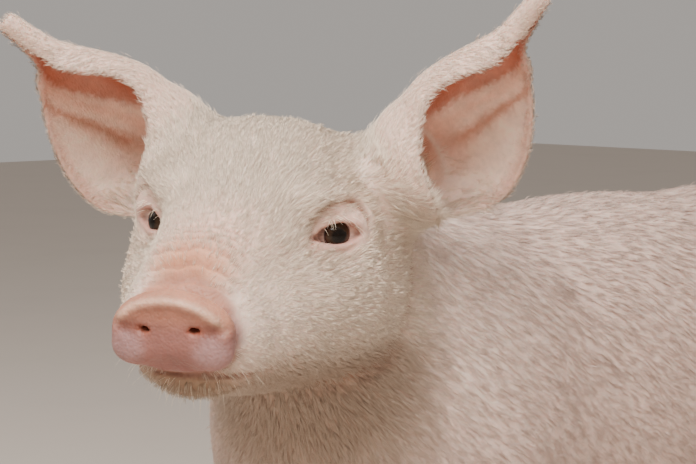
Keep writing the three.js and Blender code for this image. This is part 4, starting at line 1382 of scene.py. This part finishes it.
# %% A tree that sets bristles on points
def bristle_tree():
    tree = bpy.data.node_groups.new("bristles", "GeometryNodeTree")
    new_socket = tree.interface.new_socket
    new_socket("Roots", in_out="INPUT", socket_type="NodeSocketGeometry")
    for name, value in (("Length", 0.008), ("Thickness", 0.0001), ("Droop", 0.002)):
        new_socket(name, in_out="INPUT", socket_type="NodeSocketFloat").default_value = value
    new_socket("Seed", in_out="INPUT", socket_type="NodeSocketInt").default_value = 3
    new_socket("Material", in_out="INPUT", socket_type="NodeSocketMaterial")
    new_socket("Bristles", in_out="OUTPUT", socket_type="NodeSocketGeometry")

    def node(kind, inputs=(), **settings):
        made = tree.nodes.new(kind)
        for key, value in settings.items():
            setattr(made, key, value)
        for key, value in dict(inputs).items():
            if isinstance(value, bpy.types.NodeSocket):
                tree.links.new(value, made.inputs[key])
            else:
                made.inputs[key].default_value = value
        return made

    given = node("NodeGroupInput").outputs
    half = node("ShaderNodeMath", {0: given["Length"], 1: 0.5}, operation="MULTIPLY").outputs[0]
    below = node("ShaderNodeMath", {0: given["Droop"], 1: -1.0}, operation="MULTIPLY").outputs[0]
    elbow = node("ShaderNodeCombineXYZ", {"Z": half}).outputs[0]
    end = node("ShaderNodeCombineXYZ", {"X": below, "Z": given["Length"]}).outputs[0]
    stem = node("GeometryNodeCurveQuadraticBezier",
                {"Resolution": 5, "Start": (0, 0, 0), "Middle": elbow, "End": end})
    along = node("GeometryNodeSplineParameter").outputs["Factor"]
    taper = node("ShaderNodeMapRange", {"Value": along, "To Min": 1.0, "To Max": 0.12}).outputs["Result"]
    radius = node("ShaderNodeMath", {0: taper, 1: given["Thickness"]}, operation="MULTIPLY").outputs[0]
    stem = node("GeometryNodeSetCurveRadius", {"Curve": stem.outputs[0], "Radius": radius}).outputs[0]
    outline = node("GeometryNodeCurvePrimitiveCircle", {"Resolution": 4, "Radius": 1.0}).outputs[0]
    hair = node("GeometryNodeCurveToMesh", {"Curve": stem, "Profile Curve": outline, "Fill Caps": True})
    if "Scale" in hair.inputs:
        tree.links.new(radius, hair.inputs["Scale"])
    way = node("GeometryNodeInputNamedAttribute", {"Name": "way"}, data_type="FLOAT_VECTOR").outputs[0]
    up = node("GeometryNodeInputNamedAttribute", {"Name": "up"}, data_type="FLOAT_VECTOR").outputs[0]
    facing = node("FunctionNodeAxesToRotation", {"Primary Axis": way, "Secondary Axis": up},
                  primary_axis="Z", secondary_axis="X").outputs[0]
    size = node("FunctionNodeRandomValue", {2: 0.7, 3: 1.25, "Seed": given["Seed"]},
                data_type="FLOAT").outputs[1]
    many = node("GeometryNodeInstanceOnPoints", {"Points": given["Roots"], "Instance": hair.outputs[0],
                                                 "Rotation": facing, "Scale": size}).outputs[0]
    real = node("GeometryNodeRealizeInstances", {0: many}).outputs[0]
    real = node("GeometryNodeSetMaterial", {"Geometry": real, "Material": given["Material"]}).outputs[0]
    node("NodeGroupOutput", {"Bristles": real})
    return tree


bristles = bristle_tree()
print("bristle tree with", len(bristles.nodes), "nodes")

# %% Roots of the lashes and whiskers
skin_tree = BVHTree.FromPolygons(places.tolist(), triangles.tolist())


def lash_roots(eye, count=18):
    """Roots along the rim of the upper lid, and the way each lash points."""
    temple = rng.uniform(-7.5, 9.5, count)
    up = (almond["top"] + 1.4) * (1 - (np.abs(temple) / 11.5) ** 2.1) + rng.uniform(0, 1.2, count)
    out = np.sqrt(12 ** 2 - np.minimum(temple ** 2 + up ** 2, 120))
    spots = np.array([eye.place(*spot) for spot in zip(out, temple, up)])
    ways = []
    for t in temple:
        sideways, upward = 0.06 * t + rng.normal(0.1, 0.3), rng.normal(-0.12, 0.2)
        ways.append(eye.out + sideways * eye.temple + upward * eye.up)
    return out_of_head(spots), np.array(ways) @ head_axes.T


def whisker_roots(count=56):
    """Roots on the chin, the lips and the sides of the muzzle, and the way each whisker points."""
    q, forward = skin_heads, -skin_heads[:, 1]
    here = patch(q, point(0, 60, -52), (26, 32, 14)) + 0.5 * patch(q, point(22, 60, -40), (12, 20, 14))
    here += 0.5 * patch(q, point(-22, 60, -40), (12, 20, 14))
    here *= smooth(lip_groove(q), 0.5, 0.1) * smooth(oval(into_disc(q)), 1, 3)
    chosen = rng.choice(len(q), count, replace=False, p=here / here.sum())
    ways = lie(places[chosen], q[chosen], skin_marks[chosen], normals[chosen]) + 0.9 * normals[chosen]
    return places[chosen], ways + rng.normal(0, 0.2, (count, 3))


def set_bristles(name, spots, ways, sizes):
    """A mesh of bristles from the tree, with its place on the coat's map."""
    spots = np.array([skin_tree.find_nearest(Vector(spot))[0] for spot in spots])
    ways = ways / length(ways)[:, None]
    mesh = bpy.data.meshes.new(name)
    mesh.from_pydata(in_frame(spots - 0.4 * ways).tolist(), [], [])
    vector_points(mesh, "way", ways)
    vector_points(mesh, "up", np.tile((0.0, 0, 1), (len(ways), 1)))
    vector_points(mesh, "flat", np.column_stack([on_map(spots), np.zeros(len(spots))]))
    piece = shown(name, mesh)
    nodes_on = piece.modifiers.new("bristles", "NODES")
    nodes_on.node_group = bristles
    given = dict(sizes, Seed=len(name), Material=hair_shade.material)
    for item in bristles.interface.items_tree:
        if item.in_out == "INPUT" and item.name in given:
            nodes_on[item.identifier] = given[item.name]
    mesh = baked(piece)
    mesh.name = name
    root = np.empty(len(mesh.vertices) * 3, np.float32)
    mesh.attributes["flat"].data.foreach_get("vector", root)
    corner = np.array([loop.vertex_index for loop in mesh.loops])
    spread = 0.0015 * np.stack([np.cos(corner * 2.4), np.sin(corner * 2.4)], 1)
    flat = root.reshape(-1, 3)[corner, :2] + spread
    lay_on_map(mesh, flat)
    colour_points(mesh, "tint", np.tile(COLOURS["hair_face"], (len(mesh.vertices), 1)))
    mesh.shade_smooth()
    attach(piece, "root")
    print(name, len(mesh.polygons), "faces")


LASH = {"Length": 0.0054, "Thickness": 0.00009, "Droop": 0.0022}  # metres
WHISKER = {"Length": 0.008, "Thickness": 0.00006, "Droop": 0.0018}
for name, eye in eyes.items():
    set_bristles("lashes_" + name, *lash_roots(eye), LASH)
set_bristles("whiskers", *whisker_roots(), WHISKER)

# %% [markdown]
# ## Eyes
# The ball is round, and the cornea bulges a little from its front. The iris is dark brown with an
# almost black pupil, wider than it is high, and the white round it is pinkish. A clear coat over the
# whole ball gives the wet gloss.

# %% Eyeballs
iris_radius = 5.6
cornea_bulge = 0.7

eye_shade = Shader("piglet_eye")
reach = eye_shade.attribute("reach").outputs["Fac"]
fibres = eye_shade.noise(1.0, 3, where=eye_shade.attribute("fibre").outputs["Vector"])
ramp = eye_shade.add("ValToRGB", {"Fac": eye_shade.spread(reach, 0, 9)})
stops = ramp.color_ramp.elements
tones = [  # from the middle of the pupil out to the back of the ball
    (0.0, (18, 13, 10)), (0.28, (22, 16, 12)), (0.38, (44, 31, 22)), (0.52, (60, 42, 29)),
    (0.58, (56, 30, 23)), (0.62, (38, 20, 17)), (0.66, (150, 126, 116)), (1.0, (198, 164, 152)),
]
for spot, tone in tones[1:-1]:
    stops.new(spot)
for stop, (spot, tone) in zip(stops, tones):
    stop.position = spot
    stop.color = (*paint(*tone), 1)
iris_colour = eye_shade.dimmed(ramp.outputs["Color"], eye_shade.spread(fibres, 0.3, 0.7, 0.6, 1.35))
eye_shade.set(Base_Color=iris_colour, Roughness=0.3, Specular_IOR_Level=0.0, Coat_Weight=0.8,
              Coat_Roughness=0.03, Coat_IOR=1.34)


def lathe_faces(rows, sides):
    """Faces of a closed form: rows of points in rings, then a point for the first end and the last."""
    grid = np.arange(rows * sides).reshape(rows, sides)
    after = np.roll(grid, -1, 1)
    quads = np.stack([grid[:-1], grid[1:], after[1:], after[:-1]], -1).reshape(-1, 4)
    first, last = np.full(sides, rows * sides), np.full(sides, rows * sides + 1)
    caps = [np.stack([first, grid[0], after[0]], -1), np.stack([last, after[-1], grid[-1]], -1)]
    return np.concatenate([quads[:, [0, 1, 2]], quads[:, [0, 2, 3]], *caps])


def eyeball(eye, rings=48, sides=64):
    """(places in the head's axes, faces, reach, fibre) of a ball whose pole looks out of the socket."""
    slope = math.pi * (np.arange(1, rings) / rings) ** 1.2
    turn = 2 * math.pi * np.arange(sides) / sides
    slope, turn = (x.ravel() for x in np.meshgrid(slope, turn, indexing="ij"))
    slope, turn = np.append(slope, (0, math.pi)), np.append(turn, (0, 0))
    edge = math.asin(iris_radius / eye_radius) * 1.08
    radius = eye_radius + cornea_bulge * smooth(slope, edge, edge * 0.2)
    out, round_ = radius * np.cos(slope), radius * np.sin(slope)
    temple, up = round_ * np.cos(turn), round_ * np.sin(turn)
    spots = eye.middle + out[:, None] * eye.out + temple[:, None] * eye.temple + up[:, None] * eye.up
    faces = lathe_faces(rings - 1, sides)
    if eye.side < 0:
        faces = faces[:, ::-1]
    oval_pupil = np.where(out > 0, np.hypot(temple * 0.8, up), 9)
    far_round = np.hypot(temple, up)
    reach = np.where(out > 0, oval_pupil + (far_round - oval_pupil) * smooth(far_round, 2.2, 4.5), 9)
    fibre = np.stack([9 * np.cos(turn), 9 * np.sin(turn), far_round * 0.4], 1)
    return spots, faces, reach, fibre


for name, eye in eyes.items():
    spots, faces, reach, fibre = eyeball(eye)
    mesh = mesh_from("eyeball_" + name, out_of_head(spots), faces)
    number_points(mesh, "reach", reach)
    vector_points(mesh, "fibre", fibre)
    mesh.materials.append(eye_shade.material)
    ball = shown("eyeball_" + name, mesh)
    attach(ball, "root")
    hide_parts("eye_" + name)
    print("eye", name, len(faces), "faces")

# %% [markdown]
# ## Hooves
# A pig walks on two claws of each foot, and two dewclaws hang behind them. Horn grows down from the
# skin in fine rings, so a claw is ovals stacked from the sole up, with a slight ripple in them.

# %% Claws and dewclaws
horn_shade = Shader("hoof_horn")
bands = horn_shade.noise(900, 3, where=horn_shade.place((0.12, 0.12, 1)))
grime = horn_shade.noise(160, 4)
dark_horn, pale_horn, soil = ((*paint(*tone), 1) for tone in ((150, 120, 96), (186, 160, 136), (104, 84, 66)))
horn = horn_shade.mix(horn_shade.spread(bands, 0.3, 0.7), dark_horn, pale_horn)
horn = horn_shade.mix(horn_shade.spread(grime, 0.5, 0.75, 0, 0.6), horn, soil)
horn_shade.set(Base_Color=horn, Roughness=horn_shade.spread(grime, 0.3, 0.7, 0.38, 0.6),
               Normal=horn_shade.bump(bands, 0.0004, 0.6))


def stacked(outline_at, levels, sides=28):
    """A closed solid from one outline at each level, from the lowest up."""
    turn = 2 * math.pi * np.arange(sides) / sides
    rings = np.stack([outline_at(level, turn) for level in levels])
    spots = np.concatenate([rings.reshape(-1, 3), rings[[0, -1]].mean(1)])
    return spots, lathe_faces(len(levels), sides)[:, ::-1]


claw_half_width, claw_half_length = 6.2, 13
dewclaw_long, dewclaw_tip, dewclaw_swell = 12, 2.2, 2.4  # length, radius at the tip, and what it gains


def claw(foot, toe):
    left, forward = foot

    def outline_at(level, turn):
        swell = (1.06 - 0.16 * level - 0.1 * math.exp(-level / 0.05)) * (1 - 0.3 * smooth(level, 1.0, 1.12))
        ripple = 1 + 0.012 * math.sin(level * 30)
        ahead = np.cos(turn) * claw_half_length * np.where(np.cos(turn) > 0, 1.05, 0.72) * swell * ripple
        across = np.sin(turn) * claw_half_width * swell * ripple
        return np.stack([left + toe * toe_spread + across, -(forward + 4 + ahead - 4.5 * level),
                         np.full(len(turn), level * hoof_height)], 1)
    return stacked(outline_at, [0, 0.02, 0.06, 0.12, *np.linspace(0.18, 1.0, 20), 1.06, 1.12])


def dewclaw(foot, toe):
    left, forward = foot
    middle, lean = point(left + toe * 8.5, forward - 19, 30), math.radians(38)
    axis = np.array([0, -math.cos(lean), math.sin(lean)])  # from the tip up into the fetlock
    upright = np.cross(axis, (1, 0, 0))

    def outline_at(level, turn):
        radius = (dewclaw_tip + dewclaw_swell * level) * math.sqrt(1 - max(1 - level / 0.16, 0) ** 2 * 0.93)
        radius *= 1 + 0.02 * math.sin(level * 26)
        centre = middle + axis * dewclaw_long * (level - 0.5)
        return centre + radius * (np.cos(turn)[:, None] * (1, 0, 0) - np.sin(turn)[:, None] * upright)
    return stacked(outline_at, [0, 0.02, 0.05, 0.1, *np.linspace(0.16, 1, 14)], 20)


horns = []
for end in ("fore", "hind"):
    for side, side_name in ((1, "left"), (-1, "right")):
        for toe in (1, -1):
            label = f"{end}_{side_name}_{'outer' if toe == side else 'inner'}"
            for kind, make in (("claw_", claw), ("dewclaw_", dewclaw)):
                mesh = mesh_from("horn_" + kind + label, *make(foot_place(side, end), toe))
                piece = shown("horn_" + kind + label, mesh)
                piece.data.materials.append(horn_shade.material)
                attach(piece, "root")
                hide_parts(kind + label)
                horns.append(piece)
print(len(horns), "pieces of horn")

# %% [markdown]
# ## Floor and light
# A plain pale floor, a soft key lamp high in front of the piglet, a weaker lamp over its left side, a
# third from its right, and a pale room all round.

# %% Floor, lamps and room
floor_shade = Shader("floor_paper")
floor_tone = floor_shade.spread(floor_shade.noise(6, 3), 0.3, 0.7, 0.98, 1.02)
floor_paint = floor_shade.mix(floor_tone, (0, 0, 0, 1), (*paint(206, 195, 184), 1))
floor_shade.set(Base_Color=floor_paint, Roughness=0.9)
floor_half = 5.0
floor_mesh = bpy.data.meshes.new("floor")
floor_mesh.from_pydata([(x * floor_half, y * floor_half, 0) for x, y in ((-1, -1), (1, -1), (1, 1), (-1, 1))],
                       [], [(0, 1, 2, 3)])
floor_mesh.materials.append(floor_shade.material)
floor = shown("floor", floor_mesh)


def lamp(name, spot, target, size, watts, colour=(1, 1, 1)):
    data = bpy.data.lights.new(name, "AREA")
    data.energy, data.size, data.color = watts, size, colour
    made = bpy.data.objects.new(name, data)
    bpy.context.scene.collection.objects.link(made)
    made.location = spot
    made.rotation_euler = (Vector(target) - Vector(spot)).to_track_quat("-Z", "Y").to_euler()


lamp("key_lamp", (0.62, -1.0, 1.5), (0, -0.25, 0.3), 0.9, 47, (1.0, 0.96, 0.92))
lamp("fill_lamp", (0.8, -0.2, 1.9), (0, -0.2, 0.25), 1.3, 13, (1.0, 0.97, 0.94))
lamp("left_lamp", (-1.1, -0.8, 1.5), (0, -0.2, 0.3), 1.3, 9, (1.0, 0.97, 0.94))
world = bpy.data.worlds.new("studio")
bpy.context.scene.world = world
world.use_nodes = True
room = world.node_tree.nodes["Background"].inputs
room["Color"].default_value = (0.86, 0.8, 0.75, 1)
room["Strength"].default_value = 0.5
print("three lamps and a pale room")
